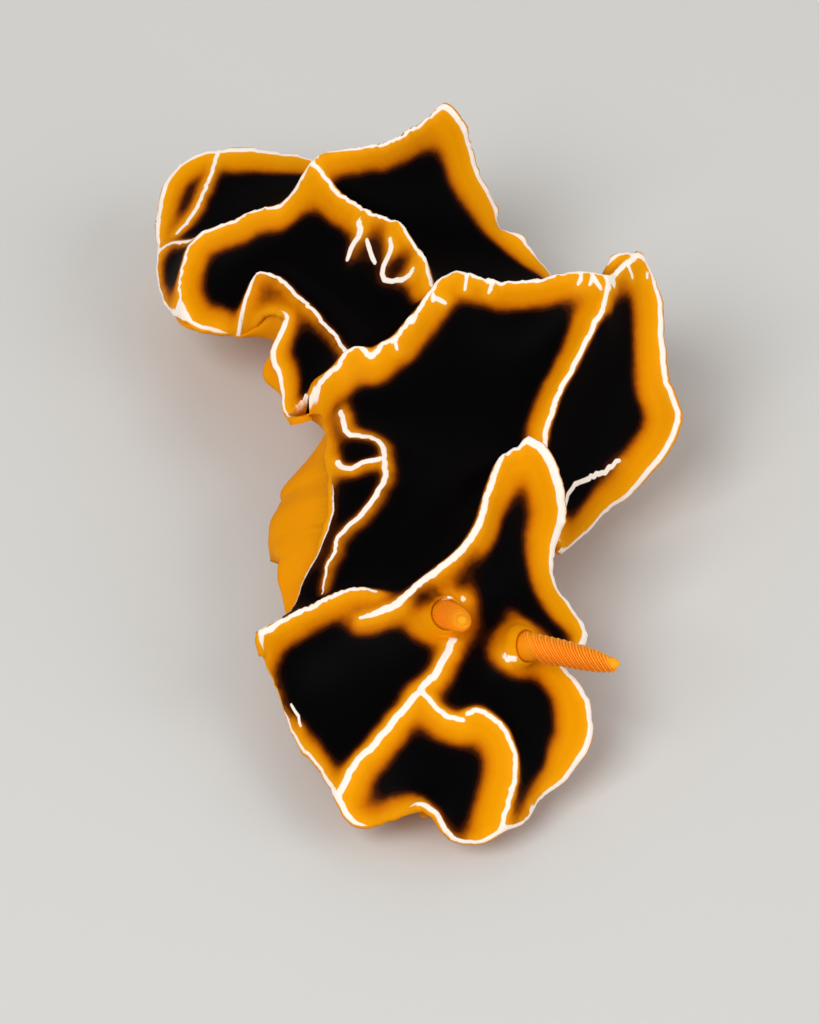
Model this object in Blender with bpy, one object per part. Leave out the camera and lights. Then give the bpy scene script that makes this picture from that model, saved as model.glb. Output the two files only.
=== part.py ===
# Chocolate mango nudibranch, a crawling dorid sea slug, as one still life-size model.
# Millimetres are used while shaping and metres in the finished objects.
# +Z is up, the sole of the foot is at Z = 0 and the head points along -Y.

import math

import bmesh
import bpy
import numpy as np
from mathutils import Vector
from mathutils.geometry import delaunay_2d_cdt

MM = 0.001
PLAN_CENTRE = (0.2, 0.37)

# Mantle sheet
NET_STEP = 0.95
RIM_THICKNESS = 0.6
SKIRT_THICKNESS = 1.25
RIDGE_REACH = 2.2
LEAN_REACH = 1.7
PART_GAP = 0.3
CURL_WIDTH = 2.7
CURL_ROWS = (0.45, 1.0, 1.6, 2.2)
CUT_FADE = 1.6

# Body, foot and gill groove
FOOT_HEIGHT = 1.6
FOOT_MARGIN = 0.8
GROOVE_CLEARANCE = 1.7
END_ROUNDING = 4.6
END_CROWDING = 0.12
GILL_SPACING = 1.6
GILL_THICKNESS = 0.55
GILL_REACH = 1.15

# Rhinophores
RHINOPHORE_LENGTH = 6.6
STALK_RADIUS = 0.85
CLUB_RADIUS = 0.92
LAMELLA_COUNT = 12
LAMELLA_DEPTH = 0.2
SHEATH_RADIUS = 1.15
SHEATH_WALL = 0.42
SHEATH_DEPTH = 0.75

# Midline of the body from the front edge to the tail: x, y, half width of the body,
# height of the resting notum and height of the underside of the mantle.
MIDLINE = [
    (1.9, -27.5, 0.0, 3.6, 2.4),
    (2.0, -23.5, 2.2, 5.0, 2.8),
    (2.2, -19.5, 3.3, 6.1, 3.4),
    (2.5, -14.0, 3.9, 7.3, 4.6),
    (2.5, -8.0, 4.2, 8.2, 4.6),
    (2.6, -2.0, 4.2, 8.7, 4.6),
    (2.2, 4.0, 4.6, 8.9, 4.6),
    (0.2, 10.5, 4.5, 8.7, 4.6),
    (-3.2, 16.5, 4.0, 8.3, 4.6),
    (-6.4, 21.0, 3.0, 7.6, 4.3),
    (-9.0, 25.0, 1.6, 6.8, 3.9),
    (-10.6, 27.6, 0.0, 6.2, 3.6),
]

# Edge of the mantle as a closed line, x, y and z, from the middle of the head round the
# animal's right side to the tail and back along its left side.
MARGIN = [
    # lifted front edge of the head
    (5.3, -26.7, 2.4), (3.8, -27.2, 2.0), (2.5, -27.2, 2.4), (1.4, -26.6, 4.2),
    (0.4, -26.4, 4.7), (-0.7, -26.2, 3.6), (-1.9, -26.3, 2.8), (-3.2, -26.4, 2.8),
    (-4.4, -25.2, 3.8),
    # right side of the head up to its back corner
    (-5.6, -22.5, 3.6), (-6.6, -21.0, 3.5), (-7.1, -19.9, 3.5), (-7.7, -18.4, 3.8),
    (-8.1, -17.1, 4.5), (-8.7, -16.3, 5.8), (-9.0, -15.7, 8.0),
    # waist, where the edge curls up and in
    (-8.0, -12.9, 6.2), (-7.3, -11.6, 5.8), (-6.3, -9.8, 7.2), (-5.1, -7.7, 8.6),
    (-4.8, -5.2, 9.2), (-5.2, -1.8, 8.9), (-5.4, 1.0, 8.5), (-5.9, 3.2, 8.0),
    # notch at the end of the middle ridge and the small curl behind it
    (-7.8, 3.7, 7.2), (-8.3, 6.0, 8.4), (-8.8, 7.7, 9.0), (-7.9, 9.7, 10.0),
    (-9.2, 11.4, 9.2), (-11.2, 12.0, 6.2),
    # round lobe at the right of the tail
    (-12.3, 12.0, 6.6), (-14.2, 12.3, 7.2), (-15.7, 14.4, 6.2), (-16.6, 17.4, 5.8),
    (-16.7, 19.7, 6.4), (-16.7, 22.4, 6.8), (-16.5, 24.7, 7.0), (-15.4, 27.0, 7.6),
    (-12.8, 27.3, 8.6), (-10.2, 27.5, 8.4), (-7.3, 27.8, 7.6),
    # end of the tail up to the rear peak
    (-4.8, 27.3, 7.0), (-2.2, 26.3, 8.4), (0.2, 25.5, 11.6), (2.0, 24.4, 15.0),
    # left side between the rear and middle peaks
    (2.8, 24.0, 14.5), (3.7, 23.4, 13.0), (4.3, 22.6, 11.0), (5.4, 21.9, 8.8),
    (6.0, 21.2, 6.8), (7.2, 20.5, 7.1), (8.9, 19.5, 5.0), (10.6, 17.6, 4.4),
    (11.9, 15.6, 6.2), (12.7, 13.4, 9.2), (13.3, 11.9, 12.4), (14.3, 10.8, 14.5),
    # big left lobe
    (15.1, 10.7, 13.6), (15.8, 9.3, 11.8), (15.9, 7.4, 9.9), (16.1, 5.5, 8.7), (16.8, 2.9, 7.5),
    (15.4, 0.9, 5.8), (14.0, -0.2, 4.5), (12.4, -1.2, 3.6), (10.9, -2.5, 2.8),
    (9.6, -3.7, 2.4),
    # front peak beside the rhinophores
    (9.2, -4.1, 4.8), (8.4, -4.5, 8.6), (7.6, -5.0, 12.0), (6.9, -5.7, 14.4),
    (8.1, -6.7, 14.2), (8.95, -7.9, 12.8), (9.15, -8.9, 10.8), (8.6, -10.0, 8.4),
    (8.9, -11.0, 7.1), (10.0, -12.3, 6.2), (10.7, -13.7, 5.8), (10.2, -15.0, 5.8),
    # left side of the head
    (9.0, -16.5, 6.2), (9.9, -17.6, 5.8), (10.7, -18.9, 5.1), (10.6, -21.2, 4.1),
    (9.5, -22.6, 3.0), (7.9, -23.9, 2.3), (6.9, -25.4, 2.0),
]

# Folds of the animal's right side where the underside rolls out past the edge: the middle
# of the fold on the edge, half its length along the edge and how far it rolls out.
CURLS = [
    ((-5.1, -2.2), 1.9, 2.6),
    ((-5.0, -5.6), 2.5, 4.2),
    ((-6.4, -9.8), 2.2, 4.0),
    ((-7.6, 4.2), 1.6, 1.1),
    ((-8.8, 7.9), 1.8, 2.7),
    ((-10.4, 11.8), 1.6, 1.3),
    ((-14.8, 13.2), 2.4, 1.2),
]

# Ridges of the notum. Each one is its crest line and the way its top leans to one side.
RIDGES = {
    "head_long": ([(2.9, -16.2, 8.2), (1.5, -18.2, 7.6), (0.4, -19.7, 7.0),
                   (-1.1, -21.4, 6.2), (-2.9, -23.0, 5.3), (-4.4, -25.2, 3.8)], (0.0, 0.0)),
    "head_spur": ([(0.9, -19.6, 7.0), (1.9, -20.5, 6.6), (3.1, -21.0, 6.2)], (0.0, 0.0)),
    "head_hook": ([(3.7, -20.4, 6.4), (5.1, -21.0, 6.3), (6.1, -22.2, 5.8),
                   (6.3, -23.4, 5.2), (6.0, -25.0, 4.0), (5.3, -26.7, 2.4)], (0.5, 0.0)),
    "collar": ([(-9.0, -15.7, 8.0), (-7.7, -15.0, 8.7), (-6.1, -14.3, 9.1),
                (-4.6, -13.5, 9.3), (-3.0, -13.1, 9.3), (-2.2, -13.2, 9.0)], (0.0, 0.5)),
    "shoulder": ([(-3.1, -14.8, 8.2), (-1.0, -14.6, 9.4), (0.2, -13.7, 10.0),
                  (1.8, -12.7, 10.8), (3.2, -11.8, 11.6), (4.1, -10.6, 12.5),
                  (4.7, -8.7, 13.4), (5.5, -6.6, 14.3), (6.9, -5.7, 14.4)], (0.0, 0.0)),
    "waist_wave": ([(-4.3, 1.4, 9.8), (-4.0, -0.6, 9.8), (-2.3, -1.2, 10.0),
                    (-1.5, -2.9, 9.9), (-1.4, -4.6, 9.5), (-2.4, -6.5, 8.8),
                    (-3.8, -8.0, 8.2), (-4.8, -9.9, 7.5), (-5.2, -11.4, 6.9)], (-0.6, 0.0)),
    "waist_spur": ([(-1.5, -2.9, 9.9), (-2.7, -3.0, 9.5), (-3.9, -2.7, 9.1)], (0.0, 0.0)),
    "middle": ([(-7.8, 3.7, 7.2), (-7.0, 4.2, 9.0), (-5.5, 4.3, 10.3), (-4.1, 5.0, 11.6),
                (-2.7, 4.7, 11.6), (-0.9, 5.5, 12.5), (0.6, 7.4, 13.5), (2.4, 9.2, 14.8),
                (4.7, 8.8, 14.8), (7.5, 8.7, 14.6), (10.3, 9.1, 15.0), (12.4, 7.7, 15.0)],
               (0.0, 0.8)),
    "middle_end": ([(12.4, 7.7, 15.0), (13.1, 9.6, 14.8), (14.3, 10.8, 14.5)], (0.0, 0.0)),
    "left_long": ([(12.4, 7.7, 15.0), (11.9, 6.1, 13.9), (11.1, 4.7, 13.0),
                   (10.0, 2.8, 12.0), (9.1, 1.0, 11.1), (8.3, -1.1, 9.6)], (1.3, 0.2)),
    "rear_long": ([(-6.5, 19.8, 14.5), (-4.6, 17.6, 13.9), (-3.3, 16.3, 13.9),
                   (-0.9, 14.8, 14.0), (0.3, 13.1, 13.6), (1.0, 11.7, 12.9),
                   (1.3, 10.4, 12.1)], (0.9, 0.5)),
    "rear_right": ([(-6.5, 19.8, 14.5), (-7.4, 19.2, 12.6), (-8.4, 18.9, 11.5),
                    (-10.0, 18.9, 11.2), (-11.6, 18.2, 10.8), (-13.4, 17.8, 10.2),
                    (-14.5, 16.7, 9.5), (-15.0, 14.8, 8.5), (-14.2, 12.3, 7.2)], (0.0, 0.3)),
    "rear_left": ([(-6.5, 19.8, 14.5), (-5.6, 20.5, 14.8), (-4.0, 20.9, 14.9),
                   (-2.0, 21.3, 14.9), (-0.3, 22.4, 14.9), (2.0, 24.4, 15.0)], (0.0, 0.7)),
    "flap": ([(-11.2, 12.0, 6.2), (-10.8, 12.3, 8.8), (-9.8, 13.6, 10.6),
              (-8.6, 13.0, 10.5), (-7.2, 11.2, 10.6), (-5.8, 9.0, 10.8),
              (-4.9, 7.2, 11.1), (-4.1, 5.0, 11.6)], (0.0, 0.0)),
    "tail_long": ([(-12.8, 27.3, 8.6), (-13.4, 24.8, 8.4), (-14.3, 22.0, 8.0),
                   (-15.4, 20.5, 7.4)], (0.0, 0.0)),
    "tail_spur": ([(-13.4, 17.8, 10.2), (-15.2, 18.9, 8.2), (-16.7, 19.7, 6.4)], (0.0, 0.0)),
}

# Lines that part the mantle into its head, middle and tail lengths.
CUTS = [
    [(-8.0, -12.9), (-5.2, -11.4), (-1.6, -9.6), (2.0, -7.4), (5.0, -4.2), (7.8, -2.9),
     (9.6, -3.7)],
    [(-7.9, 9.7), (-5.8, 9.0), (-2.2, 9.9), (1.3, 10.4), (5.5, 11.4), (9.5, 12.2), (12.7, 13.4)],
]

# Rhinophores: foot of the pocket, direction of the pocket and direction of the club.
RHINOPHORES = {
    "right": ((2.15, -14.8, 8.65), (0.2, -0.5, 0.84), (0.17, -0.73, 0.67)),
    "left": ((6.95, -16.95, 8.15), (0.74, -0.42, 0.52), (0.92, -0.36, 0.13)),
}


def clear_objects():
    for thing in list(bpy.data.objects):
        bpy.data.objects.remove(thing, do_unlink=True)


def make_material(name, colour, roughness):
    material = bpy.data.materials.new(name)
    material.use_nodes = True
    shader = material.node_tree.nodes["Principled BSDF"]
    shader.inputs["Base Color"].default_value = (*colour, 1.0)
    shader.inputs["Roughness"].default_value = roughness
    return material


def make_object(name, points, faces, material):
    mesh = bpy.data.meshes.new(name)
    placed = [(MM * float(x - PLAN_CENTRE[0]), MM * float(y - PLAN_CENTRE[1]), MM * float(z))
              for x, y, z in points]
    mesh.from_pydata(placed, [], faces)
    mesh.update()
    solid = bmesh.new()
    solid.from_mesh(mesh)
    bmesh.ops.triangulate(solid, faces=solid.faces[:])
    bmesh.ops.recalc_face_normals(solid, faces=solid.faces[:])
    solid.to_mesh(mesh)
    solid.free()
    mesh.materials.append(material)
    thing = bpy.data.objects.new(name, mesh)
    bpy.context.scene.collection.objects.link(thing)
    return thing


def unit(vector):
    vector = np.asarray(vector, dtype=float)
    return vector / np.linalg.norm(vector)


def smooth_line(points, step, closed=False):
    """Curve through every point (centripetal Catmull-Rom), split to about the given step."""
    points = [np.asarray(point, dtype=float) for point in points]
    count = len(points)
    spans = count if closed else count - 1
    line = []
    for index in range(spans):
        start = points[index]
        end = points[(index + 1) % count]
        before = points[index - 1] if closed or index > 0 else 2 * start - end
        after = points[(index + 2) % count] if closed or index + 2 < count else 2 * end - start
        knots = [0.0]
        for first, second in ((before, start), (start, end), (end, after)):
            knots.append(knots[-1] + max(np.linalg.norm(second - first), 1e-6) ** 0.5)
        parts = max(1, round(float(np.linalg.norm(end - start)) / step))
        for part in range(parts):
            t = knots[1] + (knots[2] - knots[1]) * part / parts
            row = [before, start, end, after]
            for level in (1, 2, 3):
                row = [blend(row, knots, k, level, t) for k in range(4 - level)]
            line.append(row[0])
    if not closed:
        line.append(points[-1])
    return np.array(line)


def blend(row, knots, k, level, t):
    """One entry of a level of the Catmull-Rom pyramid."""
    low = knots[1] if level == 3 else knots[k]
    high = knots[2] if level == 3 else knots[k + level]
    return ((high - t) * row[k] + (t - low) * row[k + 1]) / (high - low)


def along_midline(x, y):
    """Distance to the midline and the body's values at the nearest place on it."""
    best = None
    for first, second in zip(MIDLINE, MIDLINE[1:]):
        ax, ay = first[:2]
        bx, by = second[:2]
        length = (bx - ax) ** 2 + (by - ay) ** 2
        t = min(1.0, max(0.0, ((x - ax) * (bx - ax) + (y - ay) * (by - ay)) / length))
        gap = math.hypot(x - ax - t * (bx - ax), y - ay - t * (by - ay))
        if best is None or gap < best[0]:
            best = (gap, [(1 - t) * u + t * v for u, v in zip(first[2:], second[2:])])
    return best


def resting_height(x, y):
    gap, (_, top, _) = along_midline(x, y)
    return max(top - 0.026 * gap * gap, 3.4)


def gap_to_segments(points, starts, ends):
    """Shortest plan distance from each point to a set of segments."""
    best = np.full(len(points), 1e9)
    for start, end in zip(starts, ends):
        way = end - start
        t = np.clip(((points - start) @ way) / max(way @ way, 1e-12), 0.0, 1.0)
        best = np.minimum(best, np.linalg.norm(points - start - t[:, None] * way, axis=1))
    return best


def inside_outline(points, outline):
    """True for each point that lies inside the closed plan outline."""
    inside = np.zeros(len(points), dtype=bool)
    x, y = points[:, 0], points[:, 1]
    for (ax, ay), (bx, by) in zip(outline, np.roll(outline, -1, axis=0)):
        crosses = (ay > y) != (by > y)
        height = by - ay if by != ay else 1e-12
        inside ^= crosses & (x < (bx - ax) * (y - ay) / height + ax)
    return inside


def lean_shares(line, lean):
    """How far each sample of a crest leans, fading to nothing at both ends."""
    steps = np.concatenate([[0.0], np.cumsum(np.linalg.norm(np.diff(line, axis=0), axis=1))])
    share = np.clip(np.minimum(steps, steps[-1] - steps) / 2.5, 0.0, 1.0)
    return share[:, None] * np.array(lean)[None, :]


def outward_ways(outline):
    """Plan directions that point out of a clockwise outline at each of its points."""
    along = np.roll(outline, -2, axis=0) - np.roll(outline, 2, axis=0)
    outward = np.column_stack([-along[:, 1], along[:, 0]])
    return outward / np.linalg.norm(outward, axis=1)[:, None]


def fold_share(place, curl):
    """Strength of a curled fold at a place on the edge, one at its middle."""
    centre, length, _ = curl
    return math.exp(-(math.dist(place, centre) / length) ** 2)


class Net:
    """Plan triangulation of the mantle with ridges and edge as fixed lines."""

    def __init__(self, step):
        self.step = step
        self.plan = []
        self.known = {}
        self.fixed = {}
        self.edges = []
        self.margin = []
        self.rows = []
        self.cuts = []

    def add(self, x, y, target=None):
        key = (round(float(x), 3), round(float(y), 3))
        if key not in self.known:
            self.known[key] = len(self.plan)
            self.plan.append(key)
        index = self.known[key]
        if target is not None and index not in self.fixed:
            self.fixed[index] = np.array(target, dtype=float)
        return index

    def chain(self, indices, closed=False):
        pairs = list(zip(indices, indices[1:]))
        if closed:
            pairs.append((indices[-1], indices[0]))
        self.edges.extend(pairs)
        return pairs

    def build(self):
        edge = smooth_line(MARGIN, self.step, closed=True)
        self.margin = [self.add(p[0], p[1], p) for p in edge]
        self.chain(self.margin, closed=True)
        for crest, lean in RIDGES.values():
            line = smooth_line(crest, self.step)
            rest = line[:, :2] - lean_shares(line, lean)
            self.chain([self.add(r[0], r[1], p) for r, p in zip(rest, line)])
        for cut in CUTS:
            flat = smooth_line([(x, y, 0.0) for x, y in cut], self.step)
            self.cuts.append([self.add(p[0], p[1]) for p in flat])
            self.chain(self.cuts[-1])
        self.pockets()
        self.curl_rows()
        self.fill()
        self.triangulate()

    def pockets(self):
        """Rings for the sheath round each rhinophore."""
        for foot, axis, _ in RHINOPHORES.values():
            axis = unit(axis)
            side = unit(np.cross(axis, (0.0, 1.0, 0.0)))
            fore = np.cross(axis, side)
            centre = np.array(foot)
            self.add(foot[0], foot[1], centre - SHEATH_DEPTH * axis)
            rings = ((0.55, SHEATH_RADIUS, -SHEATH_DEPTH), (0.82, SHEATH_RADIUS + 0.02, 0.0),
                     (1.12, SHEATH_RADIUS + SHEATH_WALL, -0.08))
            for plan_radius, radius, rise in rings:
                ring = []
                for spoke in range(12):
                    angle = 2 * math.pi * spoke / 12
                    out = -math.cos(angle) * side - math.sin(angle) * fore
                    target = centre + rise * axis + radius * out
                    ring.append(self.add(foot[0] + plan_radius * math.cos(angle),
                                         foot[1] + plan_radius * math.sin(angle), target))
                self.chain(ring, closed=True)

    def curl_rows(self):
        """Rows of free points along the edge where the underside rolls out."""
        plan = np.array(self.plan)
        outline = plan[self.margin]
        starts = plan[[a for a, _ in self.edges]]
        ends = plan[[b for _, b in self.edges]]
        spots = []
        for place, out in zip(outline, outward_ways(outline)):
            if max(fold_share(place, curl) for curl in CURLS) > 0.12:
                spots += [place - depth * out for depth in CURL_ROWS]
        spots = np.array(spots)
        clear = gap_to_segments(spots, starts, ends) > 0.3
        for x, y in spots[clear & inside_outline(spots, outline)]:
            self.rows.append(self.add(x, y))

    def fill(self):
        """Even field of plan points between the fixed lines."""
        plan = np.array(self.plan)
        outline = plan[self.margin]
        low, high = outline.min(axis=0), outline.max(axis=0)
        grid = []
        row = 0
        y = low[1]
        while y < high[1]:
            x = low[0] + (self.step / 2 if row % 2 else 0.0)
            while x < high[0]:
                grid.append((x, y))
                x += self.step
            y += self.step * math.sqrt(3) / 2
            row += 1
        grid = np.array(grid)
        grid = grid[inside_outline(grid, outline)]
        starts = plan[[a for a, _ in self.edges]]
        ends = plan[[b for _, b in self.edges]]
        grid = grid[gap_to_segments(grid, starts, ends) > 0.55 * self.step]
        grid = grid[gap_to_segments(grid, plan[self.rows], plan[self.rows]) > 0.6 * self.step]
        for foot, _, _ in RHINOPHORES.values():
            grid = grid[np.linalg.norm(grid - np.array(foot[:2]), axis=1) > 1.3]
        for x, y in grid:
            self.add(x, y)

    def triangulate(self):
        coords = [Vector(p) for p in self.plan]
        result = delaunay_2d_cdt(coords, self.edges, [], 1, 1e-5)
        verts, _, faces, origins = result[0], result[1], result[2], result[3]
        place = {}
        for index, found in enumerate(origins):
            for origin in found:
                place[origin] = index
        self.points = np.array([tuple(v) for v in verts])
        self.faces = np.array(faces)
        self.fixed = {place[k]: v for k, v in self.fixed.items() if k in place}
        self.margin = [place[k] for k in self.margin]
        self.cuts = [[place[k] for k in cut] for cut in self.cuts]


def settle(net, fixed_mask, start, pull, rounds):
    """Even out a field over the net, with some values fixed and a pull to zero."""
    pairs = set()
    for a, b, c in net.faces:
        for p, q in ((a, b), (b, c), (c, a)):
            pairs.add((min(p, q), max(p, q)))
    pairs = np.array(sorted(pairs))
    count = len(net.points)
    length = np.linalg.norm(net.points[pairs[:, 0]] - net.points[pairs[:, 1]], axis=1)
    weight = 1.0 / np.maximum(length, 0.3 * net.step)
    degree = np.bincount(pairs[:, 0], weight, count) + np.bincount(pairs[:, 1], weight, count)
    stiff = pull * 1.5 * net.step ** 2 * degree / 6.0
    value = start.copy()
    for _ in range(rounds):
        total = np.zeros_like(value)
        for axis in range(value.shape[1]):
            total[:, axis] = (np.bincount(pairs[:, 0], weight * value[pairs[:, 1], axis], count)
                              + np.bincount(pairs[:, 1], weight * value[pairs[:, 0], axis], count))
        moved = total / np.maximum(degree + stiff, 1e-9)[:, None]
        value = np.where(fixed_mask[:, None], start, moved)
    return value


def vertex_normals(points, faces):
    first, second, third = (points[faces[:, k]] for k in range(3))
    face_normal = np.cross(second - first, third - first)
    normal = np.zeros_like(points)
    for corner in range(3):
        np.add.at(normal, faces[:, corner], face_normal)
    return normal / np.maximum(np.linalg.norm(normal, axis=1), 1e-12)[:, None]


def roll_out(net, inward):
    """Sideways moves that roll the underside out past the edge in the curled folds."""
    outline = net.points[net.margin]
    outward = outward_ways(outline)
    moves = np.zeros((len(net.points), 2))
    for index, place in enumerate(net.points):
        share = inward[index] / CURL_WIDTH
        near = np.argmin(((outline - place) ** 2).sum(axis=1))
        if 0.0 < share < 1.0:
            for curl in CURLS:
                fold = fold_share(outline[near], curl)
                bulge = curl[2] * math.sin(math.pi * share)
                moves[index] += fold * (bulge + inward[index] * (1.0 - share)) * outward[near]
    return moves


def mantle_surfaces(net):
    """Upper and lower surface of the mantle on the same net."""
    count = len(net.points)
    rest = np.array([resting_height(x, y) for x, y in net.points])
    fixed = np.zeros(count, dtype=bool)
    change = np.zeros((count, 3))
    for index, target in net.fixed.items():
        fixed[index] = True
        change[index, :2] = target[:2] - net.points[index]
        change[index, 2] = target[2] - rest[index]
    height = settle(net, fixed, change, 1.0 / RIDGE_REACH ** 2, 300)[:, 2]
    shift = settle(net, fixed, change, 1.0 / LEAN_REACH ** 2, 300)[:, :2]
    upper = np.column_stack([net.points + shift, rest + height])

    outline = net.points[net.margin]
    starts, ends = outline, np.roll(outline, -1, axis=0)
    inward = gap_to_segments(net.points, starts, ends)
    normal = vertex_normals(upper, net.faces)
    groove = np.zeros(count)
    core = np.zeros(count, dtype=bool)
    for index, (x, y) in enumerate(net.points):
        gap, (half, _, under) = along_midline(x, y)
        groove[index] = under
        near = np.argmin(np.linalg.norm(outline - (x, y), axis=1))
        room = 0.8 + 0.22 * max(0.0, upper[net.margin[near], 2] - under)
        core[index] = gap < half + GROOVE_CLEARANCE and inward[index] > room and half > 0.3
    edge = np.zeros(count, dtype=bool)
    edge[net.margin] = True
    ends = np.array([net.points[cut[k]] for cut in net.cuts for k in (0, -1)])
    near_end = np.min(np.linalg.norm(net.points[:, None] - ends[None], axis=2), axis=1)
    share = np.clip((near_end - 0.5) / 1.5, 0.0, 1.0)[:, None]
    rim = share * normal + (1.0 - share) * np.array((0.0, 0.0, 1.0))
    rim /= np.linalg.norm(rim, axis=1)[:, None]
    lower = upper.copy()
    lower[edge] -= RIM_THICKNESS * rim[edge]
    start = np.where(core, groove, rest)
    start[edge] = lower[edge, 2]
    level = settle(net, edge | core, start[:, None], 0.0, 600)[:, 0]
    thick = RIM_THICKNESS + (SKIRT_THICKNESS - RIM_THICKNESS) * np.clip(inward / 2.0, 0.0, 1.0)
    ceiling = upper[:, 2] - thick / np.clip(normal[:, 2], 0.4, 1.0)
    fade = np.exp(-inward / 1.4)
    inner = ~edge
    lower[inner, :2] = net.points[inner] + (shift * fade[:, None])[inner]
    lower[inner, :2] -= (rim[:, :2] * (RIM_THICKNESS * fade)[:, None])[inner]
    lower[inner, 2] = np.minimum(level, ceiling)[inner]
    lower = settle(net, edge | core, lower, 0.0, 4)
    lower[inner, 2] = np.minimum(lower[:, 2], ceiling)[inner]
    cut_lines = [net.points[cut] for cut in net.cuts]
    starts = np.vstack([line[:-1] for line in cut_lines])
    ends = np.vstack([line[1:] for line in cut_lines])
    # The folds fade out beside the cuts, so that the lengths stay apart.
    clear = np.clip(gap_to_segments(net.points, starts, ends) / CUT_FADE, 0.0, 1.0)
    lower[:, :2] += roll_out(net, inward) * clear[:, None]
    return upper, lower


def mantle_part(name, net, upper, lower, region, material):
    """Closed solid of one length of the mantle."""
    faces = net.faces[region]
    owned = set(faces.ravel().tolist())
    offset = np.zeros((len(net.points), 2))
    centre = net.points[faces.ravel()].mean(axis=0)
    for cut in net.cuts:
        for place, index in enumerate(cut):
            if index in owned:
                ahead = net.points[cut[min(place + 1, len(cut) - 1)]]
                behind = net.points[cut[max(place - 1, 0)]]
                way = unit(ahead - behind)
                side = 1.0 if centre[1] > net.points[index][1] else -1.0
                offset[index] = side * PART_GAP / 2 * np.array((-way[1], way[0]))
    order = sorted(owned)
    place = {index: number for number, index in enumerate(order)}
    count = len(order)
    points = []
    for layer in (upper, lower):
        for index in order:
            x, y, z = layer[index]
            points.append((x + offset[index, 0], y + offset[index, 1], z))
    solids = []
    directed = set()
    for a, b, c in faces:
        a, b, c = place[a], place[b], place[c]
        solids.append((a, b, c))
        solids.append((c + count, b + count, a + count))
        directed.update(((a, b), (b, c), (c, a)))
    for a, b in sorted(directed):
        if (b, a) not in directed:
            solids.append((b, a, a + count))
            solids.append((b, a + count, b + count))
    return make_object(name, points, solids, material)


def split_regions(net):
    """Faces of the head, middle and tail lengths of the mantle."""
    centres = net.points[net.faces].mean(axis=1)
    lines = [net.points[cut] for cut in net.cuts]
    behind = [centres[:, 1] > np.interp(centres[:, 0], line[:, 0], line[:, 1]) for line in lines]
    return {"head": ~behind[0], "middle": behind[0] & ~behind[1], "tail": behind[1]}


def stations(start, end, count):
    """Places along the midline: centre, sideways direction, half width and groove height."""
    line = smooth_line([(x, y, 0.0) for x, y, *_ in MIDLINE], 0.5)[:, :2]
    result = []
    for number in range(count):
        share = number / (count - 1)
        share -= END_CROWDING * math.sin(2 * math.pi * share)
        y = start + (end - start) * share
        x = float(np.interp(y, line[:, 1], line[:, 0]))
        ahead = float(np.interp(y + 0.5, line[:, 1], line[:, 0]))
        behind = float(np.interp(y - 0.5, line[:, 1], line[:, 0]))
        way = unit((ahead - behind, 1.0))
        side = np.array((way[1], -way[0]))
        half = float(np.interp(y, [p[1] for p in MIDLINE], [p[2] for p in MIDLINE]))
        result.append((np.array((x, y)), side, half))
    return result


def groove_height(y):
    return float(np.interp(y, [p[1] for p in MIDLINE], [p[4] for p in MIDLINE]))


def loft(sections):
    """Closed skin over a row of equal rings of points."""
    points = [tuple(point) for section in sections for point in section]
    size = len(sections[0])
    faces = [tuple(reversed(range(size)))]
    for row in range(len(sections) - 1):
        for k in range(size):
            a = row * size + k
            b = row * size + (k + 1) % size
            faces.append((a, b, b + size, a + size))
    last = (len(sections) - 1) * size
    faces.append(tuple(range(last, last + size)))
    return points, faces


def body_sections(rows, start, end, count, grow):
    """Rings of a lengthwise solid with round ends: a side share and a height rule each."""
    sections = []
    for centre, side, half in stations(start, end, count):
        inset = min(centre[1] - start, end - centre[1])
        blunt = max(1.0 - inset / END_ROUNDING, 0.0)
        width = (half + grow) * (0.25 + 0.75 * math.sqrt(1.0 - blunt * blunt))
        ring = []
        for share, rise in rows:
            spot = centre + side * share * width
            height = rise if rise >= 0 else groove_height(spot[1]) + rise
            ring.append((spot[0], spot[1], height))
        sections.append(ring)
    return sections


def make_body(material):
    rows = [(-0.9, FOOT_HEIGHT + PART_GAP), (0.9, FOOT_HEIGHT + PART_GAP), (0.86, 2.6),
            (0.95, -0.9), (0.95, -PART_GAP), (-0.95, -PART_GAP), (-0.95, -0.9), (-0.86, 2.6)]
    points, faces = loft(body_sections(rows, -18.6, 24.2, 27, 0.0))
    return make_object("body", points, faces, material)


def make_foot(material):
    rows = [(-0.94, 0.0), (0.94, 0.0), (1.0, 0.55), (0.96, 1.15), (0.84, FOOT_HEIGHT),
            (-0.84, FOOT_HEIGHT), (-0.96, 1.15), (-1.0, 0.55)]
    sections = body_sections(rows, -19.4, 25.4, 29, FOOT_MARGIN)
    points, faces = loft(sections)
    return make_object("foot", points, faces, material)


def make_head(material):
    """Blunt snout in front of the foot, under the edge of the mantle."""
    sections = []
    for share, width, low, high in ((0.0, 1.7, 0.9, 2.2), (0.3, 2.1, 0.6, 2.5),
                                    (1.0, 2.5, 0.5, 2.9), (2.4, 2.5, 0.5, 3.0),
                                    (3.1, 2.4, 0.6, 3.0)):
        y = -22.9 + share
        x = 2.1
        ring = []
        for k in range(10):
            angle = 2 * math.pi * k / 10
            ring.append((x + width * math.cos(angle), y,
                         (low + high) / 2 + (high - low) / 2 * math.sin(angle)))
        sections.append(ring)
    points, faces = loft(sections)
    return make_object("head", points, faces, material)


def make_oral_tentacle(name, x, material):
    """Short blunt feeler in front of the mouth."""
    sections = []
    for forward, radius in ((0.0, 0.55), (0.7, 0.5), (1.2, 0.4), (1.45, 0.22)):
        ring = []
        for k in range(8):
            angle = 2 * math.pi * k / 8
            ring.append((x + radius * math.cos(angle), -23.2 - forward,
                         1.5 - 0.15 * forward + radius * math.sin(angle)))
        sections.append(ring)
    points, faces = loft(sections)
    return make_object(name, points, faces, material)


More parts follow.
